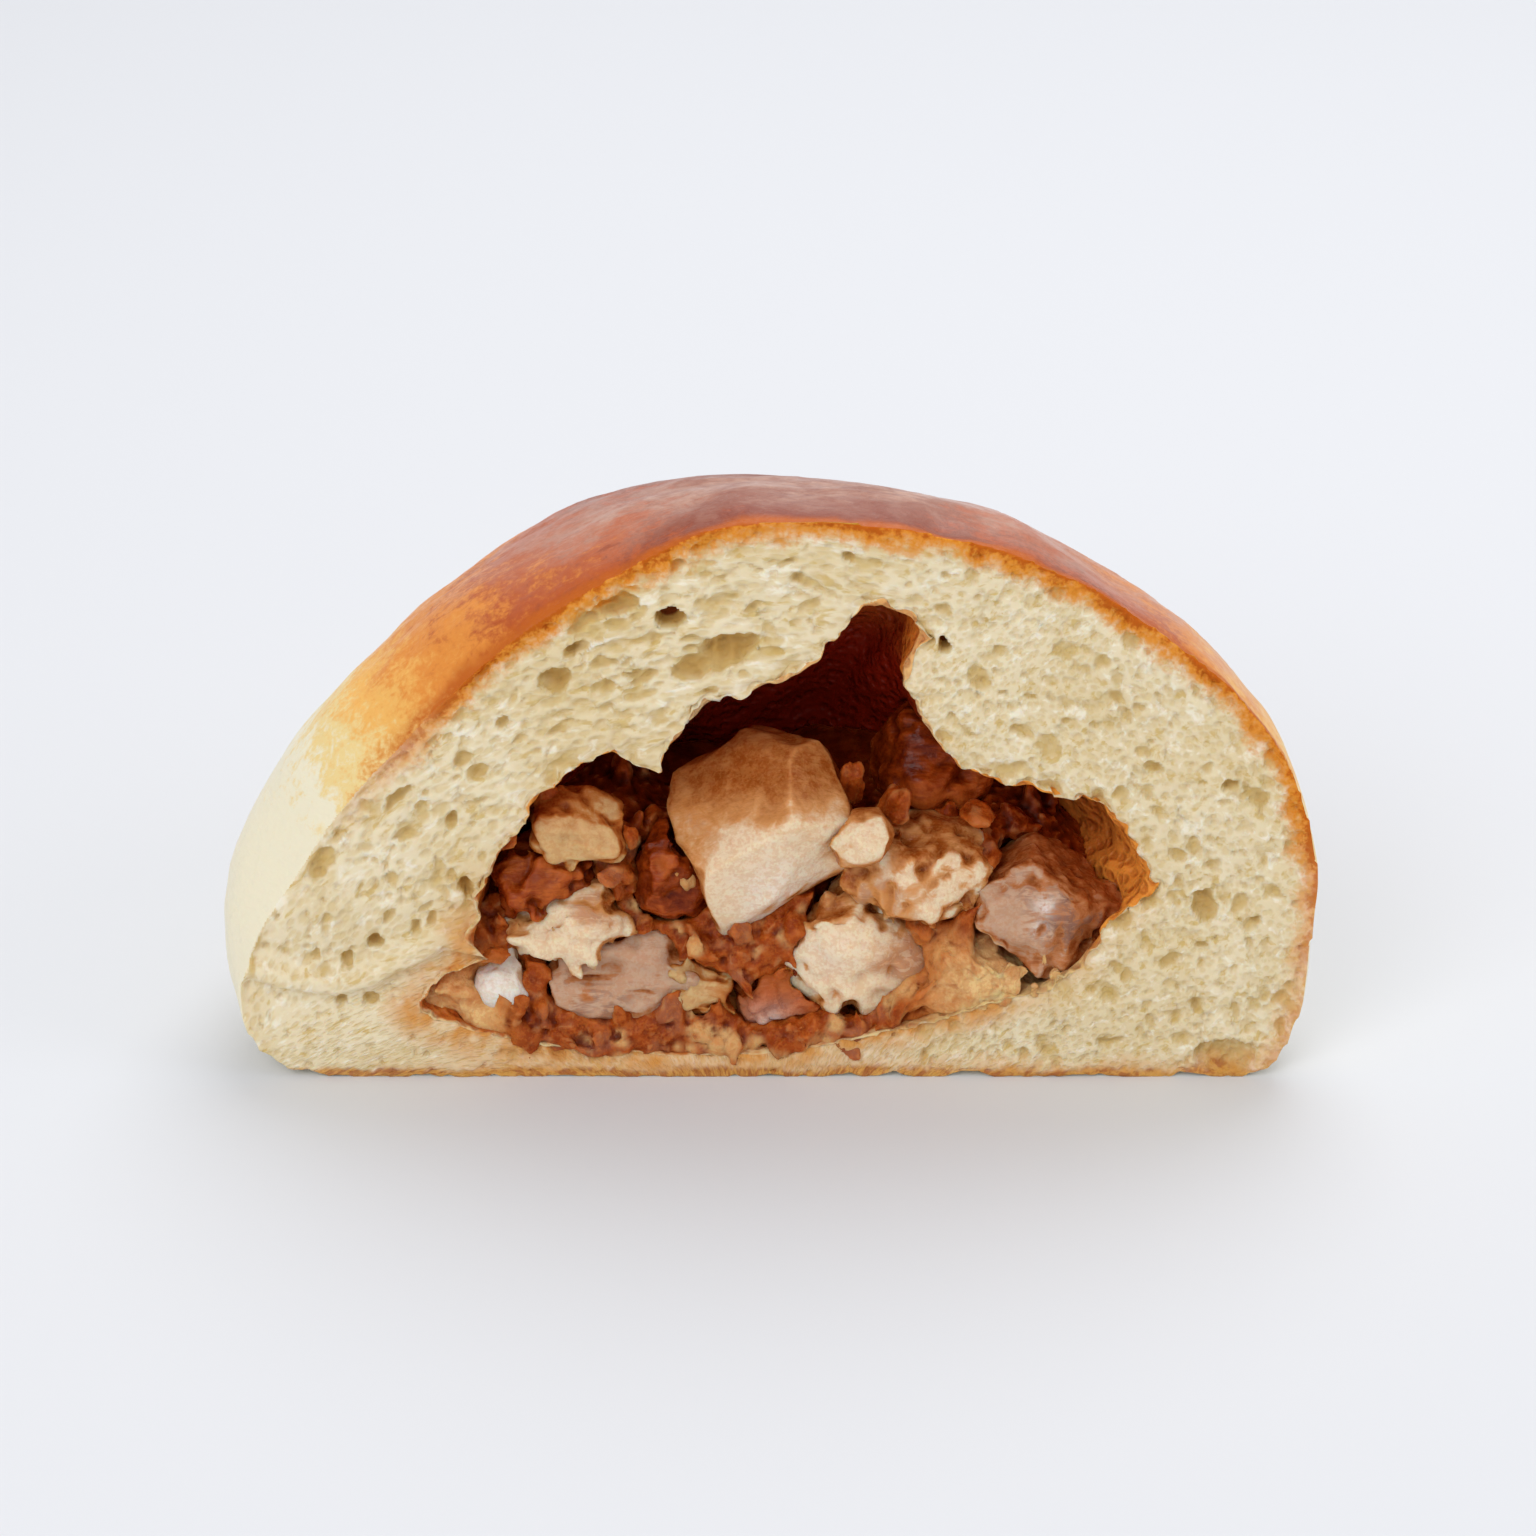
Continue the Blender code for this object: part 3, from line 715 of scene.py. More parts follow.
def crustShift(p, normal):
    # shallow dents and fine wrinkles, the wrinkles over the crown only
    x, z = p.x / mm, p.z / mm
    dent = bumpAt(p, 9 * mm, 3) * 0.4 * mm + bumpAt(p, 3.5 * mm, 7) * 0.1 * mm
    wrinkle = abs(bumpAt(Vector((p.x * 0.35, p.y * 1.5, p.z * 0.6)), 4 * mm, 5)) * 0.5 * mm
    for across, back, wide, deep in dents:
        fromDent = (p.y - cutPlane - back * mm) / (wide * 1.6 * mm)
        near = math.hypot((x - across) / wide, fromDent)
        dent -= deep * math.exp(-near * near) * mm
    return normal * (dent - wrinkle * smoothStep(26, 46, z)) * min(1, z / 5)


def settleDough(mesh, pairs, fromSkin, fromFace, fromRim):
    # softens the worst of the roughness, wears the base line and stays inside the plain shape's box
    moved = readPoints(mesh)
    low = moved[:, 2] / mm
    soft = ((fromSkin < 0.7) & (fromFace < 0.9) & (low > 0.8)).astype(float)[:, None]
    moved += (spreadOut(moved, pairs, 2) - moved) * soft
    ragged = (fromRim < 2.0).astype(float)[:, None] * 0.6
    moved += (spreadOut(moved, pairs, 1) - moved) * ragged
    moved[:, 1] = np.maximum(moved[:, 1], cutPlane + 0.01 * mm)

    def wornAt(p):
        return max(0.0, bumpAt(p, 3.2 * mm, 12)) * 0.9 + max(0.0, bumpAt(p, 1.1 * mm, 13)) * 0.4

    lift = np.array([wornAt(v.co) for v in mesh.vertices])
    nearSkin = smoothStep(1.5, 0.2, np.minimum(fromSkin, 9))
    moved[:, 2] += lift * mm * smoothStep(1.2, 0.1, low) * nearSkin * (fromFace < 1.5)
    boxLow, boxHigh = (np.array(corner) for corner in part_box("dough"))
    moved = np.clip(moved, boxLow, boxHigh)
    writePoints(mesh, moved)
    return moved / mm


def stainAt(points, fromRim):
    # sauce drawn into the crumb round the hollow, most of all low down and at the left
    across, low = points[:, 0], points[:, 2]
    reachDown = smoothStep(26, 9, low) + 0.05
    leftEnd = smoothStep(-16, -24, across)
    stain = (1 - smoothStep(0.2, 3.4 + 1.4 * leftEnd, fromRim)) * reachDown
    stain *= smoothStep(31, 20, across) * 0.75 + 0.25
    rim = (1 - smoothStep(0.0, 0.7, fromRim)) * 0.4 * smoothStep(34, 26, low)
    return np.maximum(stain, rim)


def makeDough():
    obj = solidCopy("dough", "bunDough")
    evenSkin(obj, crustLook["skin"])

    def isFine(face):
        c = face.calc_center_median()
        front = c.y < cutPlane + 0.8 * mm
        inHollow = c.y < cutPlane + 3.2 * mm and (bunMiddle - c).dot(face.normal) > 0
        return front or inHollow

    refine(obj, isFine, crustLook["cuts"])
    mesh = obj.data
    verts = mesh.vertices
    print("dough skin:", len(verts), "points")
    places = [v.co.copy() for v in verts]
    kinds = kindsOf(places, surfaceTree([obj]))
    crust = [p for p, k in zip(places, kinds) if k == "crust" and p.y < cutPlane + 3 * mm]
    crumb = [p for p, k in zip(places, kinds) if k == "crumb"]
    rim = [p for p, k in zip(places, kinds) if k == "hollow" and p.y < cutPlane + 1.6 * mm]
    fromSkin, fromFace, fromRim = (distanceTo(places, near) for near in (crust, crumb, rim))

    # the dome rounded off between the corners of its plain shape, then put back to its full size
    pairs = edgePairs(mesh)
    onCrust = np.array([k == "crust" for k in kinds])
    skinPairs = pairs[onCrust[pairs].all(axis=1)]
    points = readPoints(mesh)
    share = onCrust * smoothStep(1.5, 6, points[:, 2] / mm) * smoothStep(0.3, 2.5, fromFace)
    rounded = spreadOut(points, skinPairs, crustLook["rounding"])
    rounded += spreadOut(points - rounded, skinPairs, crustLook["rounding"])
    points += (rounded - points) * share[:, None]
    places = [Vector(p) for p in points]
    normals = [Vector(n) for n in spreadOut([tuple(v.normal) for v in verts], skinPairs, 6)]

    pore, tone = poreDepths(places, kinds, fromSkin)
    for i, p in enumerate(places):
        if kinds[i] == "crumb":
            p.y += crumbSink(p, pore[i], fromSkin[i])
            torn = 1 - smoothStep(0.0, 1.7, fromRim[i])
            if torn > 0:
                p += tearAt(p) * torn * mm
        elif kinds[i] == "hollow":
            p += hollowShift(p, normals[i], fromFace[i])
        elif p.z > 0.25 * mm:
            p += crustShift(p, normals[i])
    for v, p in zip(verts, places):
        v.co = p
    mesh.update()
    moved = settleDough(mesh, pairs, fromSkin, fromFace, fromRim)
    addValues(mesh, "pore", tone)
    addValues(mesh, "stain", stainAt(moved, fromRim))
    addValues(mesh, "fromSkin", np.minimum(fromSkin, 15))
    addValues(mesh, "fromCut", np.minimum(fromFace, 15))
    for make in (crustMaterial, crumbMaterial, hollowMaterial):
        mesh.materials.append(make())
    order = {"crust": 0, "crumb": 1, "hollow": 2}
    for face in mesh.polygons:
        slots = [order[kinds[i]] for i in face.vertices]
        face.material_index = 1 if 1 in slots else max(slots)
    mesh.shade_smooth()
    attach(obj, "root")
    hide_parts("dough")
    print("dough done:", len(mesh.polygons), "faces")
    return obj


noise.seed_set(11)
dough = makeDough()


# the meat
# in each kind, dark is mostly painted shade in the creases, partly dark sauce
meatLook = {
    "pale": {
        "flesh": (242, 220, 186), "lean": (202, 152, 116), "glaze": (216, 150, 84),
        "sauce": (164, 84, 26), "dark": (96, 28, 6), "streak": 0.12,
    },
    "cream": {
        "flesh": (216, 178, 124), "lean": (194, 138, 84), "glaze": (196, 122, 56),
        "sauce": (148, 66, 16), "dark": (88, 24, 5), "streak": 0.16,
    },
    "lean": {
        "flesh": (204, 168, 140), "lean": (146, 104, 86), "glaze": (196, 126, 74),
        "sauce": (158, 78, 28), "dark": (92, 28, 8), "streak": 0.34,
    },
    "brown": {
        "flesh": (186, 96, 36), "lean": (146, 66, 30), "glaze": (150, 62, 14),
        "sauce": (104, 30, 4), "dark": (54, 8, 1), "streak": 0.34,
    },
    "fat": {
        "flesh": (244, 234, 222), "lean": (226, 208, 192), "glaze": (210, 168, 128),
        "sauce": (196, 138, 88), "dark": (150, 80, 34), "streak": 0.05,
    },
}
meatLook = {kind: inLinear(look) for kind, look in meatLook.items()}
# a painted sheen laid on the meat, in places a pale fatty film
sheenFilmColour = toLinear(244, 234, 224)
viewSlope = 0.49  # how much higher a thing looks for lying further back


def makeMeatGrain():
    group, board, given, out = newGroup(
        "meatGrain",
        [("Place", "NodeSocketVector", None), ("Along", "NodeSocketVector", None)],
        [("Fibre", "NodeSocketFloat"), ("Patch", "NodeSocketFloat"), ("Height", "NodeSocketFloat")],
    )
    fibre = board.noise(given.outputs["Along"], 0.6 * mm, 3, 0.6, 0.6)
    patch = board.noise(given.outputs["Place"], 2.2 * mm, 3, 0.6, 0.5)
    fine = board.noise(given.outputs["Place"], 0.4 * mm, 2, 0.6)
    board.join(board.spread(fibre, 0.35, 0.65), out.inputs["Fibre"])
    board.join(board.spread(patch, 0.36, 0.64), out.inputs["Patch"])
    height = board.plus(board.times(fibre, 0.8), board.times(fine, 0.4))
    board.join(height, out.inputs["Height"])
    return group


meatGrain = makeMeatGrain()


def meatMaterial(kind, angles, torn):
    look = meatLook[kind]
    colours = dict(look, sheenFilm=sheenFilmColour)
    streak, mottled = look["streak"], 0.08 + 0.16 * torn
    material, board, shader = newMaterial(f"{kind}Pork")
    place = board.objectPlace()
    along = board.turned(place, angles, (0.2, 1, 1))
    fibre, patch, relief = placeGroup(board, meatGrain, Place=place, Along=along).outputs
    fine = placeGroup(board, speckle, Place=place, Grain=1.5).outputs["Tone"]
    # lean streaks and patches in the paler flesh
    lean = board.plus(board.attribute("lean"), board.sway(patch, 0.14), board.sway(fibre, streak))
    # sauce on the sides, thin where it starts, with painted shade in the creases
    sauce = board.plus(
        board.attribute("sauce"), board.sway(patch, mottled), board.sway(fibre, 0.4 * streak)
    )
    thick = board.spread(sauce, 0.1, 0.9)
    colour = board.paint(colours["flesh"], colours, [
        (board.spread(lean, 0.1, 0.85), "lean"),
        (board.spread(fibre, 0.6, 0.85, 0.0, 0.4), "flesh"),
        # painted sheen, in places a pale fatty film
        (board.attribute("sheenFilm"), "sheenFilm"),
        (board.spread(sauce, 0.16, 0.58, 0.0, 0.92), "glaze"),
        (board.spread(sauce, 0.45, 1.05), "sauce"),
        # mostly painted shade in the creases
        (board.spread(sauce, 0.9, 1.7), "dark"),
        (board.spread(fine, 0.2, 0.9, 0.0, 0.3), "glaze"),
    ])
    rough = board.spread(thick, 0, 1, 0.4, 0.22)
    bump = board.bump(relief, 0.2 * mm, 0.7)
    finishShader(board, shader, colour, rough, bump, 0.15, (0.5, (1.0, 0.5, 0.28), 2.2 * mm))
    return material


# Per piece: the kind of meat, how its fibres lie, how ragged it is and how much sauce it holds.
# facets, left by the knife: direction, share of its reach kept
# notches: across, up, half length, half height, depth, in mm
# pulls, the corners drawn out: across, up, how far across and up, reach, in mm
# patches: what, across, up, radius, strength; up is as seen from the front and a little above; a film patch
# is a painted sheen, in places a pale fatty film
dicePieces = {
    "pork_large_dice": {
        "kind": "pale", "fibres": (0, 20, 40), "torn": 0.12, "sauce": 0.0,
        "facets": [((0.04, -0.97, -0.22), 0.86), ((-0.5, -0.62, 0.6), 0.8), ((0.45, -0.62, 0.64), 0.8)],
        "pulls": [(-1.2, 18.6, -2.2, -3.0, 3.4), (-4.0, 20.0, -0.6, -1.2, 2.6), (6.6, 21.6, 0.6, 0.4, 2.4)],
        "patches": [
            ("sauce", 1, 37.0, 11.0, 1.15), ("lean", -6.5, 28, 3.4, 0.6), ("sauce", -7, 24, 2.2, 0.4),
            ("clean", 1.0, 20.5, 5.2, 0.4), ("sauce", 7.0, 24.0, 1.6, 0.35), ("sheenFilm", 1.6, 19.6, 4.4, 0.6),
            ("sauce", -2.4, 14.4, 1.3, 0.4),
        ],
    },
    "pork_hooked_dice": {
        "kind": "pale", "fibres": (10, -50, 0), "torn": 0.8, "sauce": 0.06,
        "facets": [((-0.1, -0.95, 0.3), 0.88), ((0.6, -0.7, 0.4), 0.9)],
        "notches": [(8.4, 6.0, 1.2, 2.2, 2.6), (15.0, 15.6, 2.0, 1.6, 1.4)],
        "pulls": [(6.2, 20.4, 0.5, -1.8, 2.8), (12.5, 5.6, 0.2, -0.9, 2.0)],
        "patches": [
            ("lean", 14.0, 12.2, 4.2, 1.0), ("sheenFilm", 6.2, 13.2, 3.0, 0.3),
            ("sauce", 6.6, 19.4, 2.4, 0.6), ("sauce", 16.4, 9.4, 2.0, 0.4), ("sauce", 11.6, 4.8, 1.6, 0.3),
            ("clean", 12.0, 7.6, 3.2, 1.0), ("clean", 7.0, 13.4, 3.6, 0.4),
            ("sauce", 3.6, 15.8, 1.6, 0.5), ("lean", 6.6, 8.6, 1.4, 0.5),
        ],
    },
    "pork_corner_dice": {
        "kind": "lean", "fibres": (0, 40, 20), "torn": 1.0, "sauce": 0.3,
        "facets": [((0.62, -0.75, 0.15), 0.84), ((-0.2, -0.9, 0.4), 0.9), ((0.5, -0.1, 0.86), 0.66),
                   ((-0.62, -0.1, -0.78), 0.62), ((-0.5, 0.0, 0.86), 0.74)],
        "notches": [(28.2, 14.6, 0.7, 2.4, 0.7), (24.6, 12.6, 2.0, 1.6, 1.4)],
        "pulls": [(30.6, 11.6, 0.8, -0.6, 2.4), (21.6, 22.6, -0.4, 0.8, 2.0)],
        "patches": [
            ("clean", 23.0, 18.4, 3.4, 0.5), ("lean", 29.6, 16.6, 4.2, 1.3), ("sauce", 22.4, 24.6, 1.8, 0.6),
            ("sauce", 29.4, 12.0, 2.2, 0.6), ("lean", 24.0, 20.4, 2.0, 0.6), ("sauce", 33.6, 18.8, 1.6, 0.7),
            ("sheenFilm", 26.8, 18.6, 1.1, 0.9), ("sheenFilm", 26.3, 16.4, 0.9, 0.8),
        ],
    },
    "pork_middle_dice": {
        "kind": "pale", "fibres": (0, 10, 0), "torn": 1.0, "sauce": 0.34,
        "facets": [((0.25, -0.9, 0.3), 0.88)],
        "notches": [(12.2, 18.6, 0.9, 2.4, 0.9)],
        "pulls": [(19.4, 22.6, 0.7, 0.5, 1.8)],
        "patches": [
            ("lean", 10.2, 19.4, 4.2, 1.1), ("sauce", 8.6, 22.8, 2.6, 0.7), ("sauce", 12.2, 16.0, 1.8, 0.5),
            ("sauce", 14.6, 24.8, 2.4, 0.6), ("sauce", 7.6, 17.4, 1.8, 0.6),
        ],
    },
    "pork_chip": {
        "kind": "pale", "fibres": (0, -30, 0), "torn": 0.15, "sauce": 0.24,
        "facets": [((0.1, -0.85, 0.5), 0.76), ((0.85, -0.4, -0.35), 0.8)],
        "patches": [("clean", 9.4, 24.4, 3.0, 0.2), ("sauce", 7.2, 22.6, 1.3, 0.3)],
    },
    "pork_lean_dice": {
        "kind": "lean", "fibres": (0, -8, 10), "torn": 0.8, "sauce": 0.12,
        "facets": [((0, -0.93, 0.3), 0.9)],
        "notches": [(-16.8, 9.3, 2.6, 0.5, 1.1), (-11.4, 8.2, 2.2, 0.45, 0.9), (-13.6, 6.2, 2.4, 0.4, 0.5)],
        "pulls": [(-8.4, 10.8, 1.4, 0.2, 1.8), (-19.8, 7.4, -0.6, 0.4, 1.8), (-14.0, 9.0, 0.0, -0.9, 7.0)],
        "patches": [
            ("lean", -15.6, 7.4, 4.0, 0.5), ("clean", -12.4, 12.6, 2.6, 0.6), ("sauce", -11.6, 6.2, 1.6, 0.5),
            ("sauce", -17.0, 9.4, 1.0, 0.5),
        ],
    },
    "pork_pale_strip": {
        "kind": "pale", "fibres": (0, -26, 0), "torn": 0.9, "sauce": 0.0,
        "facets": [((0, -0.93, 0.3), 0.88)],
        "notches": [(-21.4, 10.8, 1.8, 1.6, 1.8)],
        "pulls": [(-23.6, 14.0, -0.5, 0.6, 2.0), (-18.2, 10.8, 0.0, -0.8, 1.6)],
        "patches": [
            ("clean", -20.4, 13.4, 4.6, 0.7), ("lean", -15.6, 18.6, 3.0, 1.0),
            ("sauce", -15.0, 19.6, 2.2, 0.5),
        ],
    },
    "pork_upper_dice": {
        "kind": "brown", "fibres": (0, 50, 0), "torn": 1.0, "sauce": 0.3,
        "patches": [
            ("lean", -24.6, 17.6, 2.2, 0.8), ("lean", -21.4, 21.4, 2.0, 0.8),
            ("clean", -17.6, 19.0, 2.0, 0.4),
        ],
    },
    "pork_cream_dice": {
        "kind": "cream", "fibres": (0, 0, 30), "torn": 0.7, "sauce": 0.1,
        "facets": [((0.1, -0.85, 0.5), 0.88)],
        "pulls": [(-14.6, 24.4, 1.0, 0.0, 1.6)],
        "patches": [
            ("sauce", -19.0, 29.4, 2.4, 0.8), ("clean", -18.4, 25.4, 2.6, 0.3),
            ("sauce", -22.0, 22.8, 1.8, 0.6),
        ],
    },
    "pork_glazed_dice": {
        "kind": "brown", "fibres": (0, 20, 0), "torn": 0.5, "sauce": 0.75,
        "patches": [("clean", -9.4, 23.4, 1.4, 0.9), ("sauce", -10.6, 27.0, 3.0, 0.4)],
    },
    "pork_low_dice": {
        "kind": "brown", "fibres": (0, 30, 0), "torn": 1.0, "sauce": -0.15,
        "patches": [
            ("lean", 0.8, 6.0, 2.2, 0.6), ("clean", -1.6, 6.4, 2.0, 0.9), ("clean", 3.0, 4.4, 2.0, 0.7),
            ("sheenFilm", 0.6, 5.4, 3.2, 0.42),
        ],
    },
    "pork_crumbled_dice": {
        "kind": "cream", "fibres": (0, -20, 0), "torn": 1.0, "sauce": 0.1,
        "patches": [("lean", -4.4, 6.0, 1.8, 0.8), ("sauce", -2.6, 8.6, 1.6, 0.6)],
    },
    "pork_back_dice": {
        "kind": "brown", "fibres": (0, 20, 20), "torn": 0.6, "sauce": 0.2,
        "patches": [("clean", 16.0, 27.4, 3.0, 0.4), ("sauce", 14.0, 36.0, 6.0, 0.9)],
    },
    "pork_fat": {
        "kind": "fat", "fibres": (0, 0, 0), "torn": 0.4, "sauce": -0.35,
        "pulls": [(-25.0, 10.0, 0.2, -1.0, 4.0)],
        "patches": [("clean", -24.8, 9.0, 3.0, 0.5)],
    },
}
meatMaterials = {}


def seenHeight(places):
    # height as it looks from the front and a little above
    return (places[:, 2] + viewSlope * (places[:, 1] - cutPlane)) / mm


def addBit(bm, place, size, dice, long=1.6):
    # one crumbled bit of meat: a ball pulled out of shape
    made = bmesh.ops.create_icosphere(bm, subdivisions=2, radius=1)
    turn = Euler([dice.uniform(0, 6.28) for _ in range(3)]).to_matrix()
    stretch = (dice.uniform(0.9, long), dice.uniform(0.65, 1.0), dice.uniform(0.4, 0.8))
    seed = dice.uniform(0, 50)
    for v in made["verts"]:
        d = v.co.normalized()
        r = 1 + noise.noise(d * 1.3 + Vector((seed, 0, 0))) * 0.6
        r += noise.noise(d * 3.1 + Vector((0, seed, 0))) * 0.25
        v.co = place + turn @ Vector(a * b for a, b in zip(d * r, stretch)) * size
    return turn


def frayEdges(obj, torn, shift):
    # small shreds still hanging on the sides of a torn piece
    dice = random.Random(shift)
    bm = bmesh.new()
    bm.from_mesh(obj.data)
    bm.normal_update()
    spots = [(f.calc_center_median(), f.normal.copy()) for f in bm.faces]
    spots = [(c, n) for c, n in spots if n.y > -0.75 and c.y < cutPlane + 6 * mm]
    for _ in range(int(len(spots) * 0.16 * torn)):
        place, normal = dice.choice(spots)
        size = dice.uniform(0.35, 0.95) * mm
        addBit(bm, place + normal * size * dice.uniform(-0.4, 0.3), size, dice, 2.2)
    bm.to_mesh(obj.data)
    bm.free()


def makeDice(node, settings, voxel):
    kind, angles, torn = (settings[key] for key in ("kind", "fibres", "torn"))
    shift = sum(map(ord, node)) % 97
    obj = solidCopy(node, node.replace("pork_", "diced_"))
    if torn > 0.3:
        frayEdges(obj, torn, shift)
    evenSkin(obj, voxel)
    mesh = obj.data
    places = readPoints(mesh)
    up = seenHeight(places)
    for across, high, pullAcross, pullUp, reach in settings.get("pulls", []):
        near = np.exp(-((places[:, 0] / mm - across) ** 2 + (up - high) ** 2) / reach**2)
        places[:, 0] += pullAcross * near * mm
        places[:, 2] += pullUp * near * mm
    centre = places.mean(0)
    flat = np.zeros(len(places))
    for way, keep in settings.get("facets", []):
        n = np.array(way) / np.linalg.norm(way)
        reach = (places - centre) @ n
        over = np.maximum(0, reach - keep * reach.max())
        places -= np.outer(over * 0.94, n)
        flat = np.maximum(flat, np.minimum(1, over / (0.4 * mm)))
    writePoints(mesh, places)
    normals = readPoints(mesh, "normal")
    turn = Euler([math.radians(a) for a in angles]).to_matrix()
    streak = meatLook[kind]["streak"]
    shapes = np.zeros(len(places))
    for i, v in enumerate(mesh.vertices):
        p = v.co
        local = turn @ p
        local.x *= 0.25
        fibre = bumpAt(local, 1.0 * mm, shift) * 0.16 + bumpAt(local, 0.5 * mm, shift) * 0.05
        lump = bumpAt(p, 4.0 * mm, shift) * (0.35 + 0.8 * torn)
        lump += bumpAt(p, 1.7 * mm, shift) * (0.08 + 0.2 * torn)
        nibble = max(0.0, bumpAt(p, 1.7 * mm, shift + 9) - 0.1) * 1.9 * torn * (1 - 0.75 * flat[i])
        calm = 1 - 0.7 * flat[i]
        shapes[i] = fibre * (0.3 + 0.7 * torn) * (1 + 3 * streak) + lump * calm - nibble
    places += normals * shapes[:, None] * mm
    for across, high, halfLength, halfHeight, depth in settings.get("notches", []):
        alongIt = (places[:, 0] / mm - across) / halfLength
        near = np.hypot(alongIt, (places[:, 2] / mm - high) / halfHeight)
        near = np.maximum(0, 1 - near**2) * (normals[:, 1] < 0.3)
        places[:, 1] += depth * near * mm
    pairs = edgePairs(mesh)
    places = spreadOut(places, pairs, 1)
    places[:, 1] = np.maximum(places[:, 1], cutPlane + 0.05 * mm)
    writePoints(mesh, places)
    paintMeat(mesh, settings, shift)
    key = (kind, angles, torn)
    if key not in meatMaterials:
        meatMaterials[key] = meatMaterial(*key)
    mesh.materials.append(meatMaterials[key])
    mesh.shade_smooth()
    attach(obj, "root")
    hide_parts(node)
    return obj


def paintMeat(mesh, settings, shift):
    # where the meat is lean, and where sauce lies on it: on its sides and behind, with painted shade in its
    # creases
    places, normals, pairs = readPoints(mesh), readPoints(mesh, "normal"), edgePairs(mesh)
    broad = spreadOut(normals, pairs, 7)
    facing = np.maximum(0, -broad[:, 1] + 0.35 * np.maximum(0, broad[:, 2]))
    behind = smoothStep(1.5, 8.0, (places[:, 1] - places[:, 1].min()) / mm)
    wobble = np.array([bumpAt(v.co, 2.0 * mm, shift + 4) for v in mesh.vertices])
    share = settings["sauce"]
    lean, sheenFilm = 0.1 + wobble * 0.25, np.zeros(len(places))
    rim = smoothStep(0.93, 0.55, facing + wobble * 0.2) * 0.45
    sauce = share + rim + 0.55 * smoothStep(0.7, 0.25, facing + wobble * 0.3) + 0.3 * behind
    across, up = places[:, 0] / mm, seenHeight(places)
    for what, x, z, radius, strength in settings["patches"]:
        near = np.exp(-((np.hypot(across - x, up - z) / radius) ** 2) * 1.4)
        near = near * strength * (1 + wobble * 0.6)
        if what == "lean":
            lean += near
        elif what == "sauce":
            sauce += near
        elif what == "sheenFilm":
            sheenFilm += near
        else:
            lean -= near
            sauce -= near
    # painted shade in the creases, added on top of the sauce
    sauce = np.minimum(sauce, 0.95) + valleyOf(places, normals, pairs, 8) * 1.5
    addValues(mesh, "lean", lean)
    addValues(mesh, "sheenFilm", np.minimum(1, sheenFilm))
    addValues(mesh, "sauce", sauce)


coarseFaces, fineFaces, largeDice = 0.3 * mm, 0.22 * mm, 16 * mm
pieces = []
for node, settings in dicePieces.items():
    low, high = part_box(node)
    faceSize = coarseFaces if (high - low).length > largeDice else fineFaces
    pieces.append(makeDice(node, settings, faceSize))
print("diced meat done:", sum(len(o.data.polygons) for o in pieces), "faces")


# the mince
minceLook = inLinear({
    "sauce": (112, 34, 4),
    # mostly painted shade in the crevices
    "deep": (52, 7, 1),
    "brown": (168, 74, 18),
    # also a painted highlight on the ridges
    "glaze": (206, 116, 48),
    "cream": (226, 180, 118),
    "mauve": (166, 98, 64),
    "soakedDough": (246, 210, 146),
    "stain": (220, 134, 58),
    "voxel": 0.32 * mm,
    "bits": 300,
    "lowBits": 90,
    "cornerBits": 36,
    "small": 0.5,
    "large": 2.0,
    "seen": 17 * mm,
    "creamFrom": 0.78,
    "mauveFrom": 0.56,
})
# bits that show singly: across, behind the cut, up and size in mm, and the pick of a colour,
# where a high pick is cream and a middling one mauve
placedBits = [
    (17.4, 2.2, 12.6, 0.9, 0.95), (-7.4, 4.6, 19.6, 1.2, 0.9), (7.0, 1.6, 5.2, 0.9, 0.9),
    (-12.6, 4.5, 24.0, 1.1, 0.3), (16.4, 1.4, 8.6, 0.6, 0.95), (-6.0, 1.4, 4.4, 1.3, 0.9),
    (-3.4, 1.2, 3.6, 1.0, 0.9), (-11.5, 1.4, 4.6, 1.2, 0.3), (19.5, 1.6, 10.4, 1.2, 0.3),
    (21.6, 1.8, 9.6, 1.3, 0.3), (23.6, 1.6, 11.0, 1.0, 0.3), (26.0, 1.4, 9.8, 0.7, 0.9),
    (-29.0, 2.2, 8.2, 1.4, 0.3), (-27.4, 2.6, 6.2, 1.2, 0.3), (3.0, 4.2, 14.6, 1.6, 0.3),
    (0.6, 3.8, 11.6, 1.7, 0.3), (-2.2, 3.4, 14.2, 1.5, 0.7), (12.6, 6.6, 26.4, 1.9, 0.3),
    (8.4, 7.6, 28.0, 1.8, 0.2), (20.4, 6.2, 25.4, 1.6, 0.3), (-20.6, 6.4, 27.0, 1.5, 0.2),
    (-24.2, 4.0, 24.0, 1.2, 0.2), (-6.6, 1.8, 13.6, 0.9, 0.9), (-9.0, 2.0, 6.4, 1.5, 0.7),
    (-14.6, 2.6, 20.4, 1.3, 0.7), (-25.4, 1.6, 12.6, 1.1, 0.3),
]


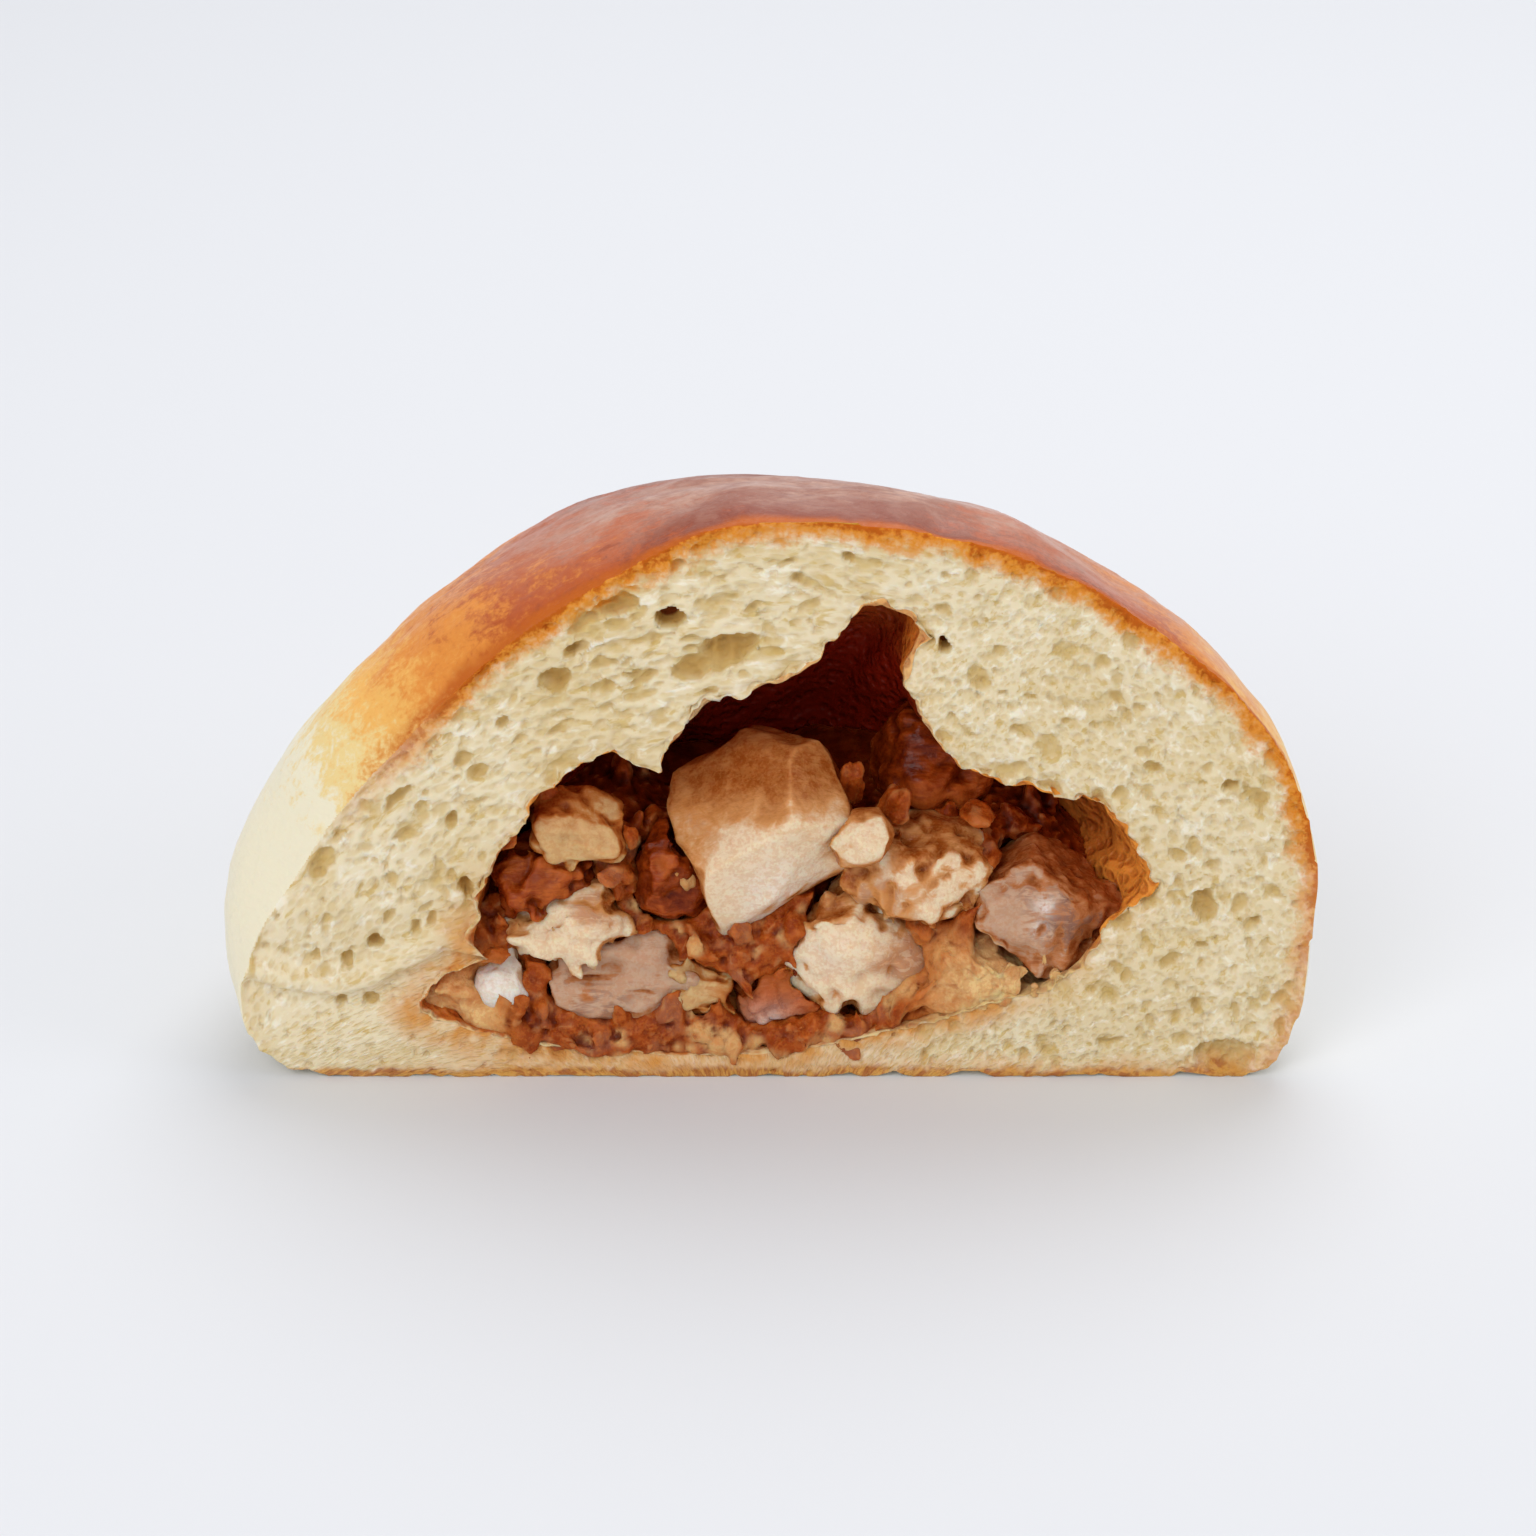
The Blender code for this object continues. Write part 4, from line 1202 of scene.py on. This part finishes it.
def minceMaterial():
    material, board, shader = newMaterial("saucedMince")
    place = board.objectPlace()
    _, patch, relief = placeGroup(board, meatGrain, Place=place, Along=place).outputs
    fine = placeGroup(board, speckle, Place=place, Grain=1.3).outputs["Tone"]
    fibre = board.attribute("fibre")
    wet = board.spread(patch, 0, 1, 1.2, 0.55)
    sauce = board.plus(board.attribute("sauce"), board.sway(patch, 0.15))
    thick = board.spread(sauce, 0.1, 0.8)
    colour = board.paint(minceLook["brown"], minceLook, [
        (board.times(patch, 0.5), "sauce"),
        (board.times(board.attribute("mauve"), 0.85), "mauve"),
        (board.times(board.attribute("cream"), 0.9), "cream"),
        (board.attribute("stained"), "stain"),
        (board.times(board.attribute("soaked"), wet, clamp=True), "soakedDough"),
        (board.spread(fibre, 0.15, 0.65, 0.0, 0.28), "cream"),
        (board.spread(fibre, -0.15, -0.6, 0.0, 0.4), "brown"),
        (board.spread(fine, 0.4, 0.8, 0.0, 0.3), "glaze"),
        # painted highlight on the ridges; the two layers after it carry painted shade in the crevices
        (board.spread(sauce, -0.05, -0.6, 0.0, 0.42), "glaze"),
        (board.times(thick, 0.9), "sauce"),
        (board.spread(sauce, 0.6, 1.4), "deep"),
    ])
    rough = board.spread(thick, 0, 1, 0.38, 0.22)
    bump = board.bump(relief, 0.24 * mm, 0.8)
    finishShader(board, shader, colour, rough, bump, 0.12, (0.35, (1.0, 0.45, 0.22), 1.4 * mm))
    return material


def scatterBits(bm, front):
    # bits of meat dropped on the heap where it is seen, and returned as (place, size, pick, turn)
    others = surfaceTree(pieces + [dough])
    dice = random.Random(7)
    low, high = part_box("mince")
    bits = []

    def drop(place, size, pick, long=1.6):
        turn = addBit(bm, place, size, dice, long)
        bits.append((place, size, pick, turn.transposed()))

    def at(x, y, z):
        return Vector((x * mm, cutPlane + y * mm, z * mm))

    small, large = minceLook["small"], minceLook["large"]
    tries = 0
    while len(bits) < minceLook["bits"] and tries < 8000:
        tries += 1
        x = dice.uniform(low.x, high.x)
        start = Vector((x, cutPlane - 20 * mm, dice.uniform(low.z, high.z + 9 * mm)))
        way = Vector((0, 1, -dice.uniform(0.0, 0.5))).normalized()
        hit, normal, _, distance = front.ray_cast(start, way)
        if hit is None or hit.y > cutPlane + minceLook["seen"]:
            continue
        blocked = others.ray_cast(start, way)[3]
        if blocked is not None and blocked < distance - 0.5 * mm:
            continue
        size = (small + (large - small) * dice.random() ** 2) * mm
        pick = dice.random() ** (0.5 if hit.z < 10 * mm else 1.0)
        drop(hit + normal * size * dice.uniform(-0.3, 0.25), size, pick, 2.6)
    for _ in range(minceLook["lowBits"]):
        # pressed into the dough's lip along the bottom
        x = dice.uniform(-24, 13)
        size = dice.uniform(0.4, 1.2) * mm
        lip = 3.2 + ((x + 6) / 14) ** 2
        up = max(1.8, lip - abs(dice.gauss(0, 0.6)))
        drop(at(x, dice.uniform(0.8, 2.4), up), size, dice.random() ** 0.45, 2.0)
    for _ in range(minceLook["cornerBits"]):
        # crumbled on the soaked dough at the right
        x = dice.uniform(16, 29)
        up = 7.4 + (x - 16) * 0.22 + dice.uniform(-0.6, 3.2)
        place = at(x, dice.uniform(1.0, 3.2), up)
        drop(place, dice.uniform(0.4, 1.1) * mm, dice.random(), 1.6)
    for x, y, z, size, pick in placedBits:
        drop(at(x, y, z), size * mm, pick)
    return bits


def colourBits(mesh, bits):
    # each point takes its fibres and its colour from the bit nearest to it
    tree = treeOf([bit[0] for bit in bits])
    creamFrom, mauveFrom = minceLook["creamFrom"], minceLook["mauveFrom"]
    cream, mauve, shapes, fibres = (np.zeros(len(mesh.vertices)) for _ in range(4))
    for i, v in enumerate(mesh.vertices):
        if v.co.y > cutPlane + minceLook["seen"]:
            continue
        _, j, distance = tree.find(v.co)
        place, size, pick, turn = bits[j]
        local = turn @ (v.co - place)
        local.x *= 0.25  # fibres along each bit
        fibres[i] = bumpAt(local, 0.7 * mm, j)
        shapes[i] = fibres[i] * 0.2 + bumpAt(v.co, 1.1 * mm, 5) * 0.2
        shapes[i] += bumpAt(v.co, 0.55 * mm, 5) * 0.08
        share = 1 - min(1, max(0, distance / size - 1.0) / 0.5)
        cream[i] = share * (pick > creamFrom)
        mauve[i] = share * (mauveFrom < pick < creamFrom)
    return cream, mauve, shapes, fibres


def makeMince():
    obj = solidCopy("mince", "saucedMince")
    front = surfaceTree([obj])
    bm = bmesh.new()
    bm.from_mesh(obj.data)
    bm.normal_update()
    for v in bm.verts:
        v.co += v.normal * 0.45 * mm
    bits = scatterBits(bm, front)
    bm.to_mesh(obj.data)
    bm.free()
    evenSkin(obj, minceLook["voxel"])
    mesh = obj.data
    pairs = edgePairs(mesh)
    places = spreadOut(readPoints(mesh), pairs, 1)
    x, y, z = places.T / mm
    soakedRight, soakedLeft = smoothStep(14, 20, x), smoothStep(-24, -28, x)
    soaked = soakedRight * smoothStep(15.5, 11.5, z) + soakedLeft * smoothStep(12, 7, z)
    stainedRight, stainedLeft = smoothStep(12, 16, x), smoothStep(-22, -26, x)
    stained = stainedLeft * smoothStep(14.5, 11, z) + stainedRight * smoothStep(16, 13, z)
    places += (spreadOut(places, pairs, 8) - places) * (soaked * 0.85)[:, None]
    # the soaked dough at the right comes forward to the cut
    lip = soaked * (x > 0) * smoothStep(12, 4, y - cutPlane / mm) * smoothStep(32, 28, x)
    places[:, 1] -= np.minimum(2.2 * lip, np.maximum(0, y - cutPlane / mm - 0.8)) * mm
    writePoints(mesh, places)
    normals = readPoints(mesh, "normal")
    cream, mauve, shapes, fibres = colourBits(mesh, bits)
    places += normals * shapes[:, None] * mm
    places[:, 1] = np.maximum(places[:, 1], cutPlane + 0.12 * mm)
    places[:, 2] = np.maximum(places[:, 2], 0.9 * mm)
    writePoints(mesh, places)
    normals = readPoints(mesh, "normal")
    # darker further back from the cut, and painted shade in the crevices
    behind = smoothStep(4, 12, (places[:, 1] - cutPlane) / mm)
    creaseShade = valleyOf(places, normals, pairs, 4) * 2.0 + valleyOf(places, normals, pairs, 14) * 0.9
    creaseShade *= 1 - 0.95 * soaked
    addValues(mesh, "cream", spreadOut(cream, pairs, 1))
    addValues(mesh, "mauve", spreadOut(mauve, pairs, 1))
    addValues(mesh, "fibre", fibres)
    addValues(mesh, "sauce", 0.15 * (1 - soaked) + creaseShade + behind * 0.6)
    addValues(mesh, "soaked", soaked * 0.75)
    addValues(mesh, "stained", stained * 0.6)
    mesh.materials.append(minceMaterial())
    mesh.shade_smooth()
    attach(obj, "root")
    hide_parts("mince")
    return obj


mince = makeMince()
print("mince done:", len(mince.data.polygons), "faces")


# floor, light and camera
stageLook = inLinear({
    "floor": (226, 227, 230),
    "floorPatches": (221, 222, 226),
    "sky": (240, 242, 246),
    "skyStrength": 0.68,
    "backLight": 2.0,
    "frontLight": 2.2,
    "sideLight": 0.5,
    "lens": 110,
    "distance": 0.455,
    "elevation": 26,
    "azimuth": 0,
    "aim": Vector((0.5, -10, 25.5)) * mm,
})


def makeFloor():
    bm = bmesh.new()
    bmesh.ops.create_grid(bm, x_segments=2, y_segments=2, size=3)
    floor = newObject("floor", bm)
    material, board, shader = newMaterial("paleFloor")
    place = board.objectPlace()
    tone = board.noise(place, 0.4, 2)
    mask = board.spread(tone, 0.3, 0.7, 0, 0.15)
    colour = board.blend(mask, stageLook["floor"], stageLook["floorPatches"])
    board.join(colour, shader.inputs["Base Color"])
    shader.inputs["Roughness"].default_value = 0.75
    shader.inputs["Specular IOR Level"].default_value = 0.2
    floor.data.materials.append(material)


def areaLight(name, place, size, energy, colour=(1, 1, 1)):
    data = bpy.data.lights.new(name, "AREA")
    data.shape = "DISK"
    data.size = size
    data.energy = energy
    data.color = colour
    lamp = bpy.data.objects.new(name, data)
    bpy.context.scene.collection.objects.link(lamp)
    lamp.location = place
    lamp.rotation_euler = (stageLook["aim"] - Vector(place)).to_track_quat("-Z", "Y").to_euler()


def makeLights():
    world = bpy.data.worlds.new("studio")
    bpy.context.scene.world = world
    world.use_nodes = True
    back = world.node_tree.nodes["Background"]
    back.inputs["Color"].default_value = stageLook["sky"]
    back.inputs["Strength"].default_value = stageLook["skyStrength"]
    areaLight("overhead", (0.10, 0.32, 0.62), 0.55, stageLook["backLight"])
    areaLight("front", (-0.30, -0.60, 0.55), 0.5, stageLook["frontLight"])
    areaLight("side", (0.55, -0.15, 0.35), 0.4, stageLook["sideLight"])


def makeCamera():
    data = bpy.data.cameras.new("camera")
    data.lens = stageLook["lens"]
    data.clip_start = 0.01
    camera = bpy.data.objects.new("camera", data)
    bpy.context.scene.collection.objects.link(camera)
    el, az = math.radians(stageLook["elevation"]), math.radians(stageLook["azimuth"])
    away = Vector((math.sin(az) * math.cos(el), -math.cos(az) * math.cos(el), math.sin(el)))
    camera.location = stageLook["aim"] + away * stageLook["distance"]
    camera.rotation_euler = (-away).to_track_quat("-Z", "Y").to_euler()
    bpy.context.scene.camera = camera


makeFloor()
makeLights()
makeCamera()
bpy.context.scene.view_settings.view_transform = "Standard"


print("stage done")
